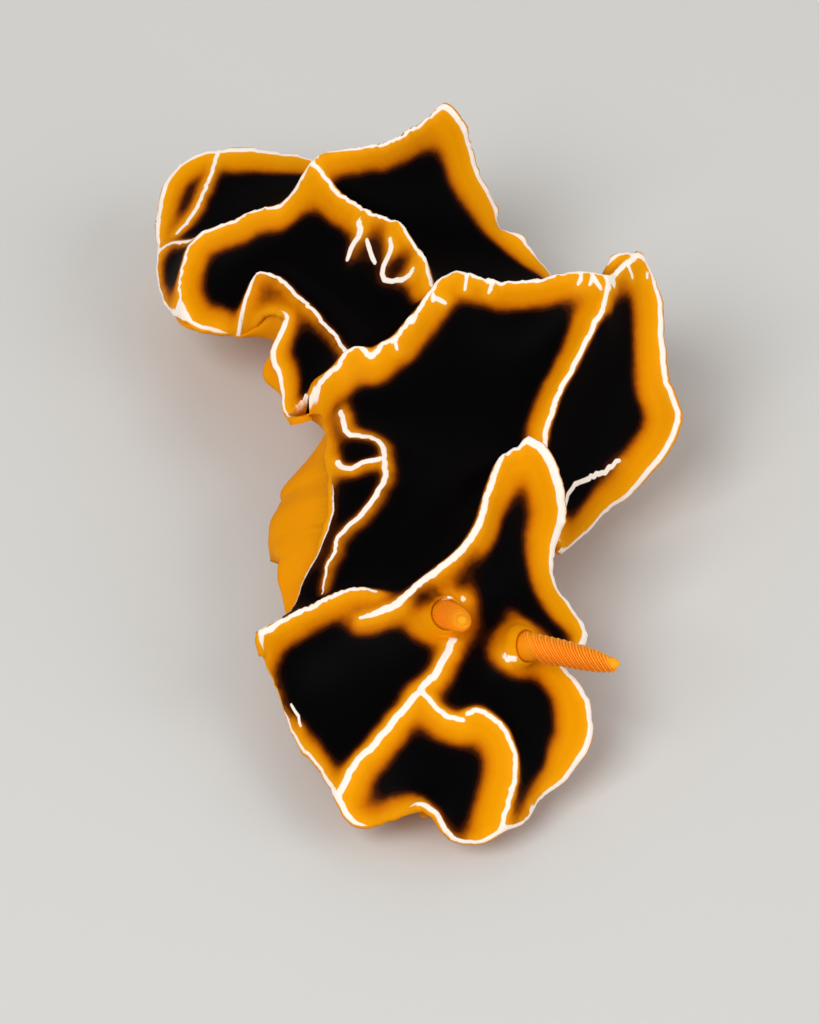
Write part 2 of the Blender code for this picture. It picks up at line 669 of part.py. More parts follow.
def make_gills(body, material):
    """Leaflets in the groove on both sides of the body, fused to it."""
    leaves = bpy.data.collections.new("leaflets")
    bpy.context.scene.collection.children.link(leaves)
    rows = stations(-14.6, 20.8, int(35.4 / GILL_SPACING) + 1)
    number = 0
    for centre, side, half in rows:
        along = np.array((-side[1], side[0]))
        for hand in (-1.0, 1.0):
            size = 1.0 - 0.12 * (number % 3)
            root = centre + side * hand * (half * 0.86 - 0.25)
            out = side * hand
            reach = 0.25 + GILL_REACH * size
            outline = [(0.0, 4.0), (reach, 3.75), (reach * 0.92, 3.3), (0.6, 2.4), (0.0, 2.3)]
            points = []
            for edge in (-0.5, 0.5):
                for step, height in outline:
                    thick = GILL_THICKNESS * edge
                    spot = root + out * step + along * thick
                    points.append((spot[0], spot[1], height))
            faces = [(0, 1, 2, 3, 4), (9, 8, 7, 6, 5)]
            for k in range(5):
                faces.append((k, k + 5, (k + 1) % 5 + 5, (k + 1) % 5))
            leaf = make_object("leaflet_%02d" % number, points, faces, material)
            bpy.context.scene.collection.objects.unlink(leaf)
            leaves.objects.link(leaf)
            number += 1
    fuse = body.modifiers.new("fuse", "BOOLEAN")
    fuse.operation = "UNION"
    fuse.operand_type = "COLLECTION"
    fuse.collection = leaves
    fuse.solver = "EXACT"
    bpy.context.view_layer.update()
    graph = bpy.context.evaluated_depsgraph_get()
    joined = bpy.data.meshes.new_from_object(body.evaluated_get(graph))
    body.modifiers.remove(fuse)
    body.data = joined
    for leaf in list(leaves.objects):
        bpy.data.objects.remove(leaf, do_unlink=True)
    bpy.data.collections.remove(leaves)


def make_rhinophore(name, foot, axis, club, material):
    """Stalk and club with ring-shaped lamellae, bent from the pocket's way to the club's."""
    axis, club = unit(axis), unit(club)
    base = np.array(foot) - (SHEATH_DEPTH - PART_GAP) * axis
    rings = [(0.0, STALK_RADIUS), (0.8, STALK_RADIUS), (1.5, STALK_RADIUS * 0.94)]
    club_start, club_end = 1.7, RHINOPHORE_LENGTH - 0.9
    pitch = (club_end - club_start) / LAMELLA_COUNT
    for number in range(LAMELLA_COUNT):
        share = number / (LAMELLA_COUNT - 1)
        radius = CLUB_RADIUS * (1.0 - 0.42 * share ** 1.6)
        rings.append((club_start + number * pitch, radius - LAMELLA_DEPTH))
        rings.append((club_start + (number + 0.5) * pitch, radius))
    rings.append((club_end, 0.36))
    rings.append((club_end + 0.5, 0.36))
    rings.append((RHINOPHORE_LENGTH - 0.12, 0.24))
    sections = []
    spot = base.copy()
    before = 0.0
    for distance, radius in rings:
        share = min(1.0, distance / 2.6)
        way = unit((1 - share) * axis + share * club)
        spot = spot + (distance - before) * way
        before = distance
        side = unit(np.cross(way, (0.0, 1.0, 0.0)))
        fore = np.cross(way, side)
        sections.append([tuple(spot + radius * (math.cos(2 * math.pi * k / 12) * side
                                                + math.sin(2 * math.pi * k / 12) * fore))
                         for k in range(12)])
    points, faces = loft(sections)
    return make_object(name, points, faces, material)


def main():
    clear_objects()
    black = make_material("notum_black", (0.004, 0.003, 0.004), 0.35)
    orange = make_material("mango_orange", (0.86, 0.31, 0.01), 0.42)
    pale = make_material("foot_pale_orange", (0.88, 0.48, 0.14), 0.45)
    bright = make_material("rhinophore_orange", (0.95, 0.26, 0.01), 0.4)

    net = Net(NET_STEP)
    net.build()
    upper, lower = mantle_surfaces(net)
    regions = split_regions(net)
    for name, region in regions.items():
        mantle_part("mantle_" + name, net, upper, lower, region, black)

    body = make_body(orange)
    make_gills(body, orange)
    make_foot(pale)
    make_head(orange)
    make_oral_tentacle("oral_tentacle_right", 1.0, orange)
    make_oral_tentacle("oral_tentacle_left", 3.2, orange)
    for side, (foot, axis, club) in RHINOPHORES.items():
        make_rhinophore("rhinophore_" + side, foot, axis, club, bright)


main()
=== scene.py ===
"""A crawling dorid sea slug with a folded black mantle and mango ridges, life size.

The shapes are worked out in millimetres and placed in metres in the frame of the solids.
The head points along -Y, the tail along +Y and the floor is at Z = 0.
"""

import logging
import math
from collections.abc import Sequence
from dataclasses import dataclass, field
from enum import Enum

import bmesh
import bpy
import numpy as np
from bpy.types import (
    ID, ColorRampElements, Material, Mesh, Node, NodeSocket, NodeTree, Object)
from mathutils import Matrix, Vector
from mathutils.geometry import delaunay_2d_cdt

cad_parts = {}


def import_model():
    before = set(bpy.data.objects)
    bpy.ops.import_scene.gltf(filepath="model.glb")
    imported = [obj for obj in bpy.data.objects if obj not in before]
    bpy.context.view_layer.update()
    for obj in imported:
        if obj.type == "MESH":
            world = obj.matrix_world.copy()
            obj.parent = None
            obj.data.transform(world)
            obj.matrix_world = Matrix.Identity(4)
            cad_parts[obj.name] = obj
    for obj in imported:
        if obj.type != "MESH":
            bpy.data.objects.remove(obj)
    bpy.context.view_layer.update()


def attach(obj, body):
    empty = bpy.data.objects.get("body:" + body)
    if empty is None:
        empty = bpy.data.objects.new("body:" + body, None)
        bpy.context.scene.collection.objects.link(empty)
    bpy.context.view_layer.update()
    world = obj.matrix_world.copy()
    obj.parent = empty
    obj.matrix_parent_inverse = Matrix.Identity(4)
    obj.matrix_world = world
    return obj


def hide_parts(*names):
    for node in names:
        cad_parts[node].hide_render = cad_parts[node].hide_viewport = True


logging.basicConfig(level=logging.INFO, format="%(message)s")
log = logging.getLogger("sea_slug")

MM = 0.001
# Place of the plan, in millimetres, that lies at the origin of the model's frame.
PLAN_CENTRE = (0.2, 0.37)
# Distance in millimetres that stands for "nowhere near".
FAR = 4.0
# White half width of an edge or crest that carries no white line.
BARE = -0.15
# Directions of length one along X, Y and Z.
AXES = np.eye(3)
# Where the rings of the rim lie between the upper and the lower edge of the mantle, and how
# much of the underside's colour each of them has.
RIM_SHARES = (0.25, 0.5, 0.75)
RIM_REGIONS = (0.3, 0.7, 1.0)

# Refraction of moist skin, and height of its finest grain in metres.
WET_IOR = 1.38
GRAIN_HEIGHT = 0.05 * MM

# One row of a node tree: name, kind, settings and sources of a node.
NodeRow = tuple[str, str, dict, dict]
MATH = "ShaderNodeMath"
MIX = "ShaderNodeMix"
NOISE = "ShaderNodeTexNoise"
RAMP = "ShaderNodeValToRGB"
RANGE = "ShaderNodeMapRange"
ADD = {"operation": "ADD"}
MULTIPLY = {"operation": "MULTIPLY"}
MULTIPLY_ADD = {"operation": "MULTIPLY_ADD"}
COLOURS = {"data_type": "RGBA"}

# Midline of the body from the front edge to the tail: x, y, half width of the body,
# height of the resting notum and height of the underside of the mantle.
MIDLINE = (
    (1.9, -27.5, 0.0, 3.6, 2.4),
    (2.0, -23.5, 2.2, 5.0, 2.8),
    (2.2, -19.5, 3.3, 6.1, 3.4),
    (2.5, -14.0, 3.9, 7.3, 4.6),
    (2.5, -8.0, 4.2, 8.2, 4.6),
    (2.6, -2.0, 4.2, 8.7, 4.6),
    (2.2, 4.0, 4.6, 8.9, 4.6),
    (0.2, 10.5, 4.5, 8.7, 4.6),
    (-3.2, 16.5, 4.0, 8.3, 4.6),
    (-6.4, 21.0, 3.0, 7.6, 4.3),
    (-9.0, 25.0, 1.6, 6.8, 3.9),
    (-10.6, 27.6, 0.0, 6.2, 3.6),
)

# Edge of the mantle, closed: x, y, z, width of the orange border inside it and half
# width of the white line along it.
MARGIN = (
    (5.3, -26.7, 2.4, 0.3, 0.12), (3.8, -27.2, 2.0, 0.35, 0.10), (2.5, -27.2, 2.4, 0.3, 0.12),
    (1.4, -26.6, 4.2, 0.35, 0.13), (0.4, -26.4, 4.7, 0.8, 0.13), (-0.7, -26.2, 3.6, 1.0, BARE),
    (-1.9, -26.3, 2.8, 1.0, BARE), (-3.2, -26.4, 2.8, 1.1, 0.10), (-4.4, -25.2, 3.8, 0.8, 0.14),
    (-5.6, -22.5, 3.6, 0.9, 0.09), (-6.6, -21.0, 3.5, 0.95, 0.09), (-7.1, -19.9, 3.5, 0.9, 0.09),
    (-7.7, -18.4, 3.8, 0.4, 0.05), (-8.1, -17.1, 4.5, 0.3, BARE), (-8.7, -16.3, 5.8, 0.35, BARE),
    (-9.0, -15.7, 8.0, 0.6, 0.17),
    (-8.0, -12.9, 6.2, 0.3, 0.1), (-7.3, -11.6, 5.8, 0.1, 0.04), (-6.3, -9.8, 7.2, 0.05, 0.03),
    (-5.1, -7.7, 8.6, 0.05, 0.03), (-4.8, -5.2, 9.2, 0.15, 0.03), (-5.2, -1.8, 8.9, 0.8, BARE),
    (-5.4, 1.0, 8.5, 0.8, BARE), (-5.9, 3.2, 8.0, 0.8, BARE),
    (-7.8, 3.7, 7.2, 1.2, 0.05), (-8.3, 6.0, 8.4, 1.3, 0.13), (-8.8, 7.7, 9.0, 1.2, 0.16),
    (-7.9, 9.7, 10.0, 0.8, 0.12), (-9.2, 11.4, 9.2, 0.7, BARE), (-11.2, 12.0, 6.2, 1.0, BARE),
    (-12.3, 12.0, 6.6, 1.5, 0.08), (-14.2, 12.3, 7.2, 1.4, 0.09), (-15.7, 14.4, 6.2, 1.0, 0.14),
    (-16.6, 17.4, 5.8, 0.8, 0.14), (-16.7, 19.7, 6.4, 0.9, 0.15), (-16.7, 22.4, 6.8, 1.3, 0.15),
    (-16.5, 24.7, 7.0, 1.5, 0.15), (-15.4, 27.0, 7.6, 1.7, 0.15), (-12.8, 27.3, 8.6, 1.7, 0.15),
    (-10.2, 27.5, 8.4, 1.7, 0.15), (-7.3, 27.8, 7.6, 1.7, 0.14),
    (-4.8, 27.3, 7.0, 1.7, 0.14), (-2.2, 26.3, 8.4, 1.8, 0.15), (0.2, 25.5, 11.6, 1.9, 0.15),
    (2.0, 24.4, 15.0, 2.0, 0.16),
    (2.8, 24.0, 14.6, 2.0, 0.16), (3.4, 23.7, 13.8, 2.0, 0.15), (3.8, 23.3, 12.6, 2.0, 0.15),
    (4.2, 22.7, 11.1, 2.0, 0.14), (4.9, 22.2, 9.8, 1.9, 0.14), (5.5, 21.8, 8.5, 1.8, 0.14),
    (5.9, 21.3, 7.0, 1.7, 0.14), (6.4, 21.0, 7.1, 1.7, 0.14), (7.2, 20.5, 7.1, 1.7, 0.14),
    (8.0, 19.9, 6.3, 1.6, 0.14), (9.0, 19.5, 5.0, 1.6, 0.14),
    (10.6, 17.6, 4.4, 1.7, 0.14), (11.9, 15.6, 6.2, 1.8, 0.14), (12.6, 13.4, 9.2, 1.4, 0.14),
    (12.5, 11.8, 12.0, 1.2, 0.13), (12.5, 10.4, 14.2, 1.3, 0.13), (13.4, 10.7, 14.7, 1.3, 0.13),
    (14.4, 10.7, 14.6, 1.2, 0.13), (15.0, 10.7, 13.8, 1.8, 0.13), (15.4, 10.2, 12.9, 1.9, 0.13),
    (15.8, 9.1, 11.5, 1.9, 0.13), (15.9, 7.4, 9.9, 1.9, 0.17), (16.1, 5.5, 8.7, 2.0, 0.13),
    (16.8, 2.9, 7.5, 2.1, 0.14), (15.4, 0.9, 5.8, 2.0, 0.14), (14.0, -0.2, 4.5, 1.8, 0.14),
    (12.4, -1.2, 3.6, 1.7, 0.13), (10.9, -2.5, 2.8, 1.6, 0.13), (9.6, -3.7, 2.4, 1.5, 0.13),
    (9.2, -4.1, 4.8, 1.4, 0.14), (8.4, -4.5, 8.6, 1.4, 0.16), (7.6, -5.0, 12.0, 1.6, 0.2),
    (6.9, -5.7, 14.5, 2.2, 0.24),
    (7.5, -6.0, 14.4, 2.2, 0.24), (8.1, -6.6, 14.2, 2.2, 0.24), (8.55, -7.2, 13.6, 2.1, 0.24),
    (8.95, -7.9, 12.7, 2.1, 0.24), (9.15, -8.8, 10.9, 2.0, 0.23),
    (8.6, -10.0, 8.4, 1.9, 0.21), (8.9, -11.0, 7.1, 2.0, 0.22), (10.0, -12.3, 6.2, 2.1, 0.24),
    (10.7, -13.7, 5.8, 1.9, 0.24), (10.2, -15.0, 5.8, 1.7, 0.2),
    (9.0, -16.5, 6.2, 1.9, 0.17), (9.9, -17.6, 5.8, 2.1, 0.19), (10.7, -18.9, 5.1, 2.3, 0.18),
    (10.6, -21.2, 4.1, 2.2, 0.17), (9.5, -22.6, 3.0, 1.9, 0.16), (7.9, -23.9, 2.3, 1.2, 0.13),
    (6.9, -25.4, 2.0, 0.9, 0.12),
)

# Where the underside of the skirt is rolled out past the edge: a place on the edge, the
# half length along it and how far the roll reaches.
CURLS = (
    ((-5.3, 0.2), 2.2, 2.7), ((-5.3, -1.4), 2.2, 1.3), ((-5.0, -3.0), 2.2, 1.2),
    ((-4.9, -4.6), 2.2, 2.1), ((-4.8, -6.2), 2.2, 2.4), ((-5.2, -7.8), 2.2, 1.7),
    ((-6.0, -9.4), 2.2, 1.4), ((-6.9, -11.0), 2.2, 1.2),
    ((-7.6, 4.2), 1.6, 1.1), ((-8.8, 7.9), 1.8, 3.0), ((-10.4, 11.8), 1.6, 1.3),
    ((-14.8, 13.2), 2.4, 1.2),
)

# Foot of each rhinophore, direction of its stalk and direction of its club.
RHINOPHORE_PLACES = {
    "right": ((2.15, -14.8, 8.65), (0.36, -0.5, 0.82), (0.15, -0.727, 0.666)),
    "left": ((6.95, -16.95, 8.15), (0.74, -0.42, 0.52), (0.924, -0.365, 0.112)),
}

# Way that the upper edge of each leaf of a rhinophore leans.
LEAF_UP = {"right": (-0.35, 0.65, 0.67), "left": (0.0, 0.7, 0.7)}

# Orange halos round the rhinophores: centre and radius.
HALOS = (
    ((2.1, -14.9, 8.6), 2.1), ((3.1, -13.8, 9.0), 1.1), ((0.7, -15.2, 8.5), 1.2),
    ((6.4, -17.0, 8.0), 1.85), ((7.0, -15.7, 8.1), 1.45), ((6.3, -14.3, 8.5), 0.6),
)

# Small dark smudges in the orange: both ends and radius.
SMUDGES = (
    ((0.4, -14.1, 9.2), (1.4, -13.5, 9.2), 0.42),
    ((2.9, -13.0, 9.6), (3.9, -12.2, 10.3), 0.45),
    ((8.5, -14.3, 6.9), (9.1, -14.75, 6.5), 0.6),
    ((-0.6, 12.4, 12.3), (-0.6, 12.5, 12.4), 0.5),
    ((-2.3, 14.5, 12.8), (-2.2, 13.0, 11.5), 0.4),
)

# White dashes on the sheaths and beside the edge: the line in space and its half width.
DASHES = (
    (((1.9, -13.9, 9.0), (2.5, -13.8, 9.2), (2.8, -13.6, 9.0), (3.2, -13.6, 8.6)), 0.15),
    (((5.5, -17.8, 8.3), (5.8, -18.0, 8.1), (6.2, -18.0, 8.1)), 0.22),
    (((6.2, -18.0, 8.1), (6.7, -17.2, 7.3)), 0.14),
    (((7.2, -24.7, 2.5), (7.4, -24.6, 2.1)), 0.1),
)


class Region(Enum):
    """Which face of the mantle a point lies on."""

    NOTUM = 0.0
    UNDERSIDE = 1.0


@dataclass(frozen=True)
class Crest:
    """One raised ridge of the notum, in millimetres.

    The lean is how far the foot of the ridge lies from its top in the resting plan. The
    orange flank widths are given at the start and end, left and right of the line as it
    runs from its first point to its last. White is the line's half width, and the ends
    are the shares of it that are left at the first and at the last point. Ragged is how
    far the teeth of the line reach.
    """

    name: str
    points: tuple[tuple[float, float, float], ...]
    lean: tuple[float, float]
    left: tuple[float, float]
    right: tuple[float, float]
    white: float = 0.14
    ends: tuple[float, float] = (1.0, 1.0)
    ragged: float = 0.01


@dataclass(frozen=True)
class Wrinkle:
    """A small pinched fold, drawn on the resting plan of the mantle, in millimetres.

    The flanks are the orange widths left and right of the line as it runs.
    """

    points: tuple[tuple[float, float], ...]
    white: float
    flanks: tuple[float, float] = (-FAR, -FAR)
    relief: float = 0.12
    ragged: float = 0.006


CRESTS = (
    Crest("head_long", (
        (2.7, -16.1, 8.2), (2.3, -16.9, 8.0), (1.9, -17.7, 7.75), (1.5, -18.5, 7.45), (0.7, -19.2, 7.0),
        (-0.6, -20.7, 6.4), (-2.3, -22.6, 5.6), (-3.3, -23.5, 5.1), (-3.9, -24.3, 4.5),
        (-4.4, -25.2, 3.8)
    ), (0.0, 0.0), (0.9, 1.7), (0.7, 0.75), 0.22),
    Crest("head_spur", (
        (0.7, -19.6, 7.0), (1.2, -20.2, 6.8), (1.7, -20.7, 6.6), (2.3, -21.1, 6.4), (3.1, -21.2, 6.2)
    ), (0.0, 0.0), (0.45, 0.4), (1.2, 1.7), 0.15),
    Crest("head_hook", (
        (3.4, -20.8, 6.4), (4.0, -20.6, 6.45), (4.6, -20.9, 6.4), (5.35, -21.5, 6.2),
        (5.85, -22.3, 6.0), (6.25, -23.1, 5.6), (6.3, -23.7, 5.2), (6.0, -25.0, 4.0), (5.7, -25.8, 3.2),
        (5.3, -26.7, 2.4)
    ), (0.4, 0.0), (0.15, 0.15), (1.9, 2.0), 0.15),
    Crest("collar", (
        (-9.0, -15.7, 8.0), (-7.7, -15.0, 8.7), (-6.7, -14.6, 9.0), (-5.5, -14.0, 9.2),
        (-4.6, -13.5, 9.3), (-3.7, -13.2, 9.4), (-3.0, -13.1, 9.3), (-2.2, -13.2, 9.0)
    ), (0.0, 0.5), (0.2, 0.2), (1.7, 1.2), 0.19, (1.0, 0.6), 0.02),
    Crest("shoulder", (
        (-3.1, -14.8, 8.2), (-1.0, -14.6, 9.4), (0.2, -13.7, 10.0), (1.8, -12.7, 10.8),
        (3.2, -11.8, 11.6), (4.1, -10.6, 12.5), (4.7, -8.7, 13.4), (5.5, -6.6, 14.3), (6.9, -5.7, 14.4)
    ), (0.0, 0.0), (0.3, 0.4), (1.1, 2.2), 0.24, (0.3, 1.0), 0.03),
    Crest("waist_wave", (
        (-4.4, 1.6, 9.8), (-4.2, 0.2, 9.8), (-3.8, -0.6, 9.85), (-2.9, -0.8, 9.9), (-2.2, -1.2, 9.95),
        (-1.7, -1.9, 10.0), (-1.75, -2.8, 9.95), (-1.7, -4.1, 9.8), (-2.1, -5.3, 9.5),
        (-2.8, -6.3, 9.1), (-3.8, -7.3, 8.7), (-4.5, -8.0, 8.3), (-4.8, -9.0, 8.0), (-5.2, -9.7, 7.7),
        (-5.3, -10.6, 7.3), (-5.4, -11.6, 6.9)
    ), (-0.6, 0.0), (0.75, 0.6), (0.3, 0.15), 0.17, (1.0, 0.25)),
    Crest("waist_spur", (
        (-1.75, -2.8, 9.95), (-2.9, -2.9, 9.75), (-3.7, -3.2, 9.5), (-4.2, -2.9, 9.2), (-4.6, -2.3, 9.0)
    ), (0.0, 0.0), (0.75, 0.8), (0.15, 0.15), 0.18),
    Crest("middle", (
        (-7.8, 3.7, 7.2), (-7.4, 3.8, 8.3), (-6.9, 4.0, 9.2), (-6.4, 4.2, 9.9), (-5.5, 4.3, 10.3),
        (-4.7, 4.5, 10.9), (-4.2, 5.0, 11.6), (-3.6, 5.3, 11.9), (-3.0, 5.2, 11.9), (-2.6, 4.7, 11.6),
        (-2.2, 4.9, 11.8), (-1.8, 5.4, 12.1), (-0.9, 5.5, 12.5), (-0.4, 6.3, 12.9), (0.4, 7.2, 13.4),
        (1.1, 8.1, 13.9), (1.8, 9.0, 14.4), (2.6, 9.3, 14.8), (3.7, 9.0, 14.9), (4.7, 8.8, 14.7),
        (5.9, 8.6, 14.6), (7.5, 8.7, 14.6), (9.1, 9.0, 14.8), (10.3, 9.1, 15.0), (11.3, 9.0, 15.0),
        (12.1, 8.5, 15.0), (12.4, 7.7, 15.0)
    ), (0.0, 0.8), (0.2, 0.2), (1.9, 1.7), 0.16, (-0.9, 1.0), 0.03),
    Crest("middle_end", (
        (12.4, 7.7, 15.0), (12.7, 8.6, 15.0), (13.2, 9.3, 15.0), (13.8, 10.0, 14.9), (14.4, 10.7, 14.6)
    ), (0.0, 0.0), (0.5, 0.4), (1.3, 1.4), 0.19, (1.0, 1.0), 0.03),
    Crest("left_long", (
        (12.4, 7.7, 15.0), (12.2, 6.7, 14.4), (11.8, 6.0, 13.8), (11.3, 5.1, 13.2), (10.7, 4.1, 12.6),
        (10.0, 2.8, 12.0), (9.3, 1.6, 11.4), (8.9, 0.6, 10.8), (8.5, -0.3, 10.1), (8.3, -1.1, 9.5)
    ), (1.3, 0.2), (0.2, 0.15), (1.9, 1.3), 0.17),
    Crest("rear_long", (
        (-6.5, 19.8, 14.5), (-5.6, 18.8, 14.2), (-4.6, 17.6, 13.9), (-3.3, 16.3, 13.9),
        (-1.7, 15.2, 14.0), (-0.8, 14.8, 14.0), (-0.2, 13.9, 13.9), (0.3, 13.1, 13.6),
        (0.8, 12.3, 13.3), (1.1, 11.5, 12.8), (1.3, 10.4, 12.1)
    ), (0.9, 0.5), (0.2, 0.2), (1.9, 1.6)),
    Crest("rear_right", (
        (-6.5, 19.8, 14.5), (-7.0, 19.4, 13.8), (-7.6, 19.2, 12.4), (-8.4, 18.9, 11.5),
        (-10.0, 18.9, 11.2), (-11.6, 18.2, 10.8), (-13.4, 17.8, 10.2), (-14.4, 17.1, 9.6),
        (-14.8, 16.1, 9.1), (-15.0, 14.8, 8.5), (-14.8, 13.7, 7.8), (-14.2, 12.3, 7.2)
    ), (0.0, 0.3), (1.7, 1.5), (0.2, 0.2), 0.14, (1.0, 0.4)),
    Crest("rear_left", (
        (-6.5, 19.8, 14.5), (-5.6, 20.5, 14.8), (-4.3, 20.8, 14.9), (-2.5, 21.1, 14.9),
        (-1.0, 21.9, 14.9), (0.3, 22.9, 15.0), (1.2, 24.0, 15.0), (2.0, 24.4, 15.0)
    ), (0.0, 0.7), (0.2, 0.2), (1.6, 1.8)),
    Crest("flap", (
        (-11.2, 12.0, 6.2), (-10.8, 12.3, 8.8), (-9.8, 13.6, 10.6), (-8.6, 13.0, 10.5),
        (-7.2, 11.2, 10.6), (-5.8, 9.0, 10.8), (-4.9, 7.2, 11.1), (-4.1, 5.0, 11.6)
    ), (0.0, 0.0), (0.15, 0.15), (1.0, 0.6), 0.13),
    Crest("tail_long", (
        (-12.8, 27.3, 8.6), (-13.4, 24.8, 8.4), (-14.3, 22.0, 8.0), (-15.4, 20.5, 7.4)
    ), (0.0, 0.0), (0.5, 0.6), (0.8, 0.9), 0.13),
    Crest("tail_spur", (
        (-13.4, 17.8, 10.2), (-14.3, 18.0, 9.2), (-15.3, 18.9, 8.2), (-16.1, 19.6, 7.2),
        (-16.7, 19.7, 6.4)
    ), (0.0, 0.0), (0.5, 0.5), (0.5, 0.5), 0.13),
)

WRINKLES = (
    # The curled tongue in front of the rear ridges.
    Wrinkle(((-4.07, 15.04), (-3.88, 14.69), (-3.99, 14.45), (-4.26, 14.17), (-4.37, 13.76)),
            0.17, (0.4, 0.15)),
    Wrinkle(((-3.37, 14.13), (-3.18, 13.74), (-2.99, 13.33), (-2.69, 12.83)),
            0.16, (0.1, 0.4)),
    Wrinkle(((-2.0, 13.52), (-1.88, 13.12), (-1.98, 12.79), (-2.19, 12.44), (-2.2, 12.1),
             (-1.98, 11.67), (-1.54, 11.35), (-0.95, 11.17), (-0.55, 11.17), (-0.38, 11.34)),
            0.17, (0.3, 0.35)),
    # Teeth below the middle ridge.
    Wrinkle(((1.31, 7.02), (1.71, 7.25), (2.1, 7.2)), 0.15),
    Wrinkle(((3.45, 8.0), (3.4, 7.75)), 0.13),
    Wrinkle(((5.06, 7.7), (5.02, 7.56), (4.88, 7.48)), 0.13),
    Wrinkle(((0.31, 6.0), (0.12, 5.7)), 0.17),
    Wrinkle(((-1.05, 4.6), (-0.85, 4.35)), 0.15),
    Wrinkle(((10.61, 8.1), (10.58, 7.9), (10.38, 7.8)), 0.13),
    Wrinkle(((11.27, 8.05), (11.47, 7.82), (11.67, 7.51), (11.67, 7.38)), 0.14),
    Wrinkle(((11.2, 7.85), (11.02, 7.72)), 0.12),
    # Spots and dashes on the ear and on the left lobe.
    Wrinkle(((12.8, 8.4), (12.84, 8.25), (12.8, 8.1)), 0.12),
    Wrinkle(((13.96, 9.62), (13.98, 9.58)), 0.13),
    Wrinkle(((14.94, 10.13), (14.96, 10.1)), 0.12),
    Wrinkle(((13.08, 0.88), (12.62, 0.48), (12.17, 0.08), (11.64, -0.23), (11.05, -0.65),
             (10.47, -1.1), (10.1, -1.53), (9.8, -1.97), (9.63, -2.42)), 0.16, (-FAR, 0.28)),
    # Loop on the right edge of the head.
    Wrinkle(((-7.3, -18.2), (-7.1, -18.65), (-6.79, -19.27), (-6.71, -19.7)), 0.09),
)


def unit(vector: np.ndarray | tuple[float, ...]) -> np.ndarray:
    """Vector of length one in the same direction."""
    vector = np.asarray(vector, dtype=float)
    return vector / np.linalg.norm(vector)


def across(way: np.ndarray) -> tuple[np.ndarray, np.ndarray]:
    """Two directions of length one at right angles to a way and to each other."""
    side = unit(np.cross((0.0, 1.0, 0.0), way))
    return side, np.cross(way, side)


def circle(centre: np.ndarray, side: np.ndarray, fore: np.ndarray, radius: float,
           count: int) -> list[np.ndarray]:
    """Even ring of places round a centre, in the plane of two directions."""
    return [centre + radius * (math.cos(turn) * side + math.sin(turn) * fore)
            for turn in np.linspace(0.0, 2 * math.pi, count, endpoint=False)]


def linear_colour(code: str) -> tuple[float, float, float, float]:
    """Linear colour of an sRGB hex code.

    Args:
        code: Six hex digits, with or without a leading hash sign.

    Returns:
        Red, green, blue and an alpha of one.
    """
    code = code.lstrip("#")
    parts = [int(code[k:k + 2], 16) / 255 for k in (0, 2, 4)]
    linear = [p / 12.92 if p <= 0.04045 else ((p + 0.055) / 1.055) ** 2.4 for p in parts]
    return (linear[0], linear[1], linear[2], 1.0)


def set_stops(elements: ColorRampElements, stops: Sequence[tuple[float, str]]) -> None:
    """Give a colour ramp its stops, each a position and an sRGB hex code."""
    for number, (position, code) in enumerate(stops):
        stop = elements[0] if number == 0 else elements[-1]
        if 0 < number < len(stops) - 1:
            stop = elements.new(position)
        stop.position = position
        stop.color = linear_colour(code)


def add_node(tree: NodeTree, kind: str, settings: dict, links: dict) -> Node:
    """Add a node with its settings, its socket values and its links.

    Args:
        tree: Tree that gets the node.
        kind: Blender's name of the node type.
        settings: Node properties by name, socket values by index or socket name, and the
            stops of a colour ramp under "stops".
        links: Output sockets by the index or name of the input they feed.

    Returns:
        The new node.
    """
    node = tree.nodes.new(kind)
    for key, value in settings.items():
        if key == "stops":
            set_stops(node.color_ramp.elements, value)
        elif isinstance(key, int) or key in node.inputs:
            node.inputs[key].default_value = value
        else:
            setattr(node, key, value)
    for key, source in links.items():
        tree.links.new(source, node.inputs[key])
    return node


def lay_nodes(tree: NodeTree, rows: Sequence[NodeRow]) -> dict[str, NodeSocket]:
    """Add nodes in order, each fed by the nodes before it.

    Args:
        tree: Tree that gets the nodes.
        rows: Name, kind, settings and sources of each node. A source is the name of a node,
            for its first live output, or that name, a dot and the name of an output.

    Returns:
        Output sockets by those names.
    """
    sockets: dict[str, NodeSocket] = {}
    for name, kind, settings, sources in rows:
        links = {key: sockets[source] for key, source in sources.items()}
        node = add_node(tree, kind, settings, links)
        for output in reversed([out for out in node.outputs if out.enabled]):
            sockets[name] = sockets[f"{name}.{output.name}"] = output
    return sockets


def geometry_tree(name: str, inputs: dict[str, str], rows: Sequence[NodeRow]) -> NodeTree:
    """Geometry node tree that ends in real faces with a material.

    Args:
        name: Name of the tree.
        inputs: Kind of each named input; one of them is the material, "Skin".
        rows: The nodes, as lay_nodes takes them. The inputs are outputs of "given", and the
            last row makes the geometry.

    Returns:
        The tree.
    """
    tree = bpy.data.node_groups.new(name, "GeometryNodeTree")
    for label, kind in inputs.items():
        tree.interface.new_socket(name=label, in_out="INPUT", socket_type="NodeSocket" + kind)
    tree.interface.new_socket(name="Mesh", in_out="OUTPUT", socket_type="NodeSocketGeometry")
    lay_nodes(tree, (
        ("given", "NodeGroupInput", {}, {}),
        *rows,
        ("solid", "GeometryNodeRealizeInstances", {}, {0: rows[-1][0]}),
        ("dressed", "GeometryNodeSetMaterial", {}, {"Geometry": "solid", "Material": "given.Skin"}),
        ("result", "NodeGroupOutput", {}, {0: "dressed"}),
    ))
    return tree


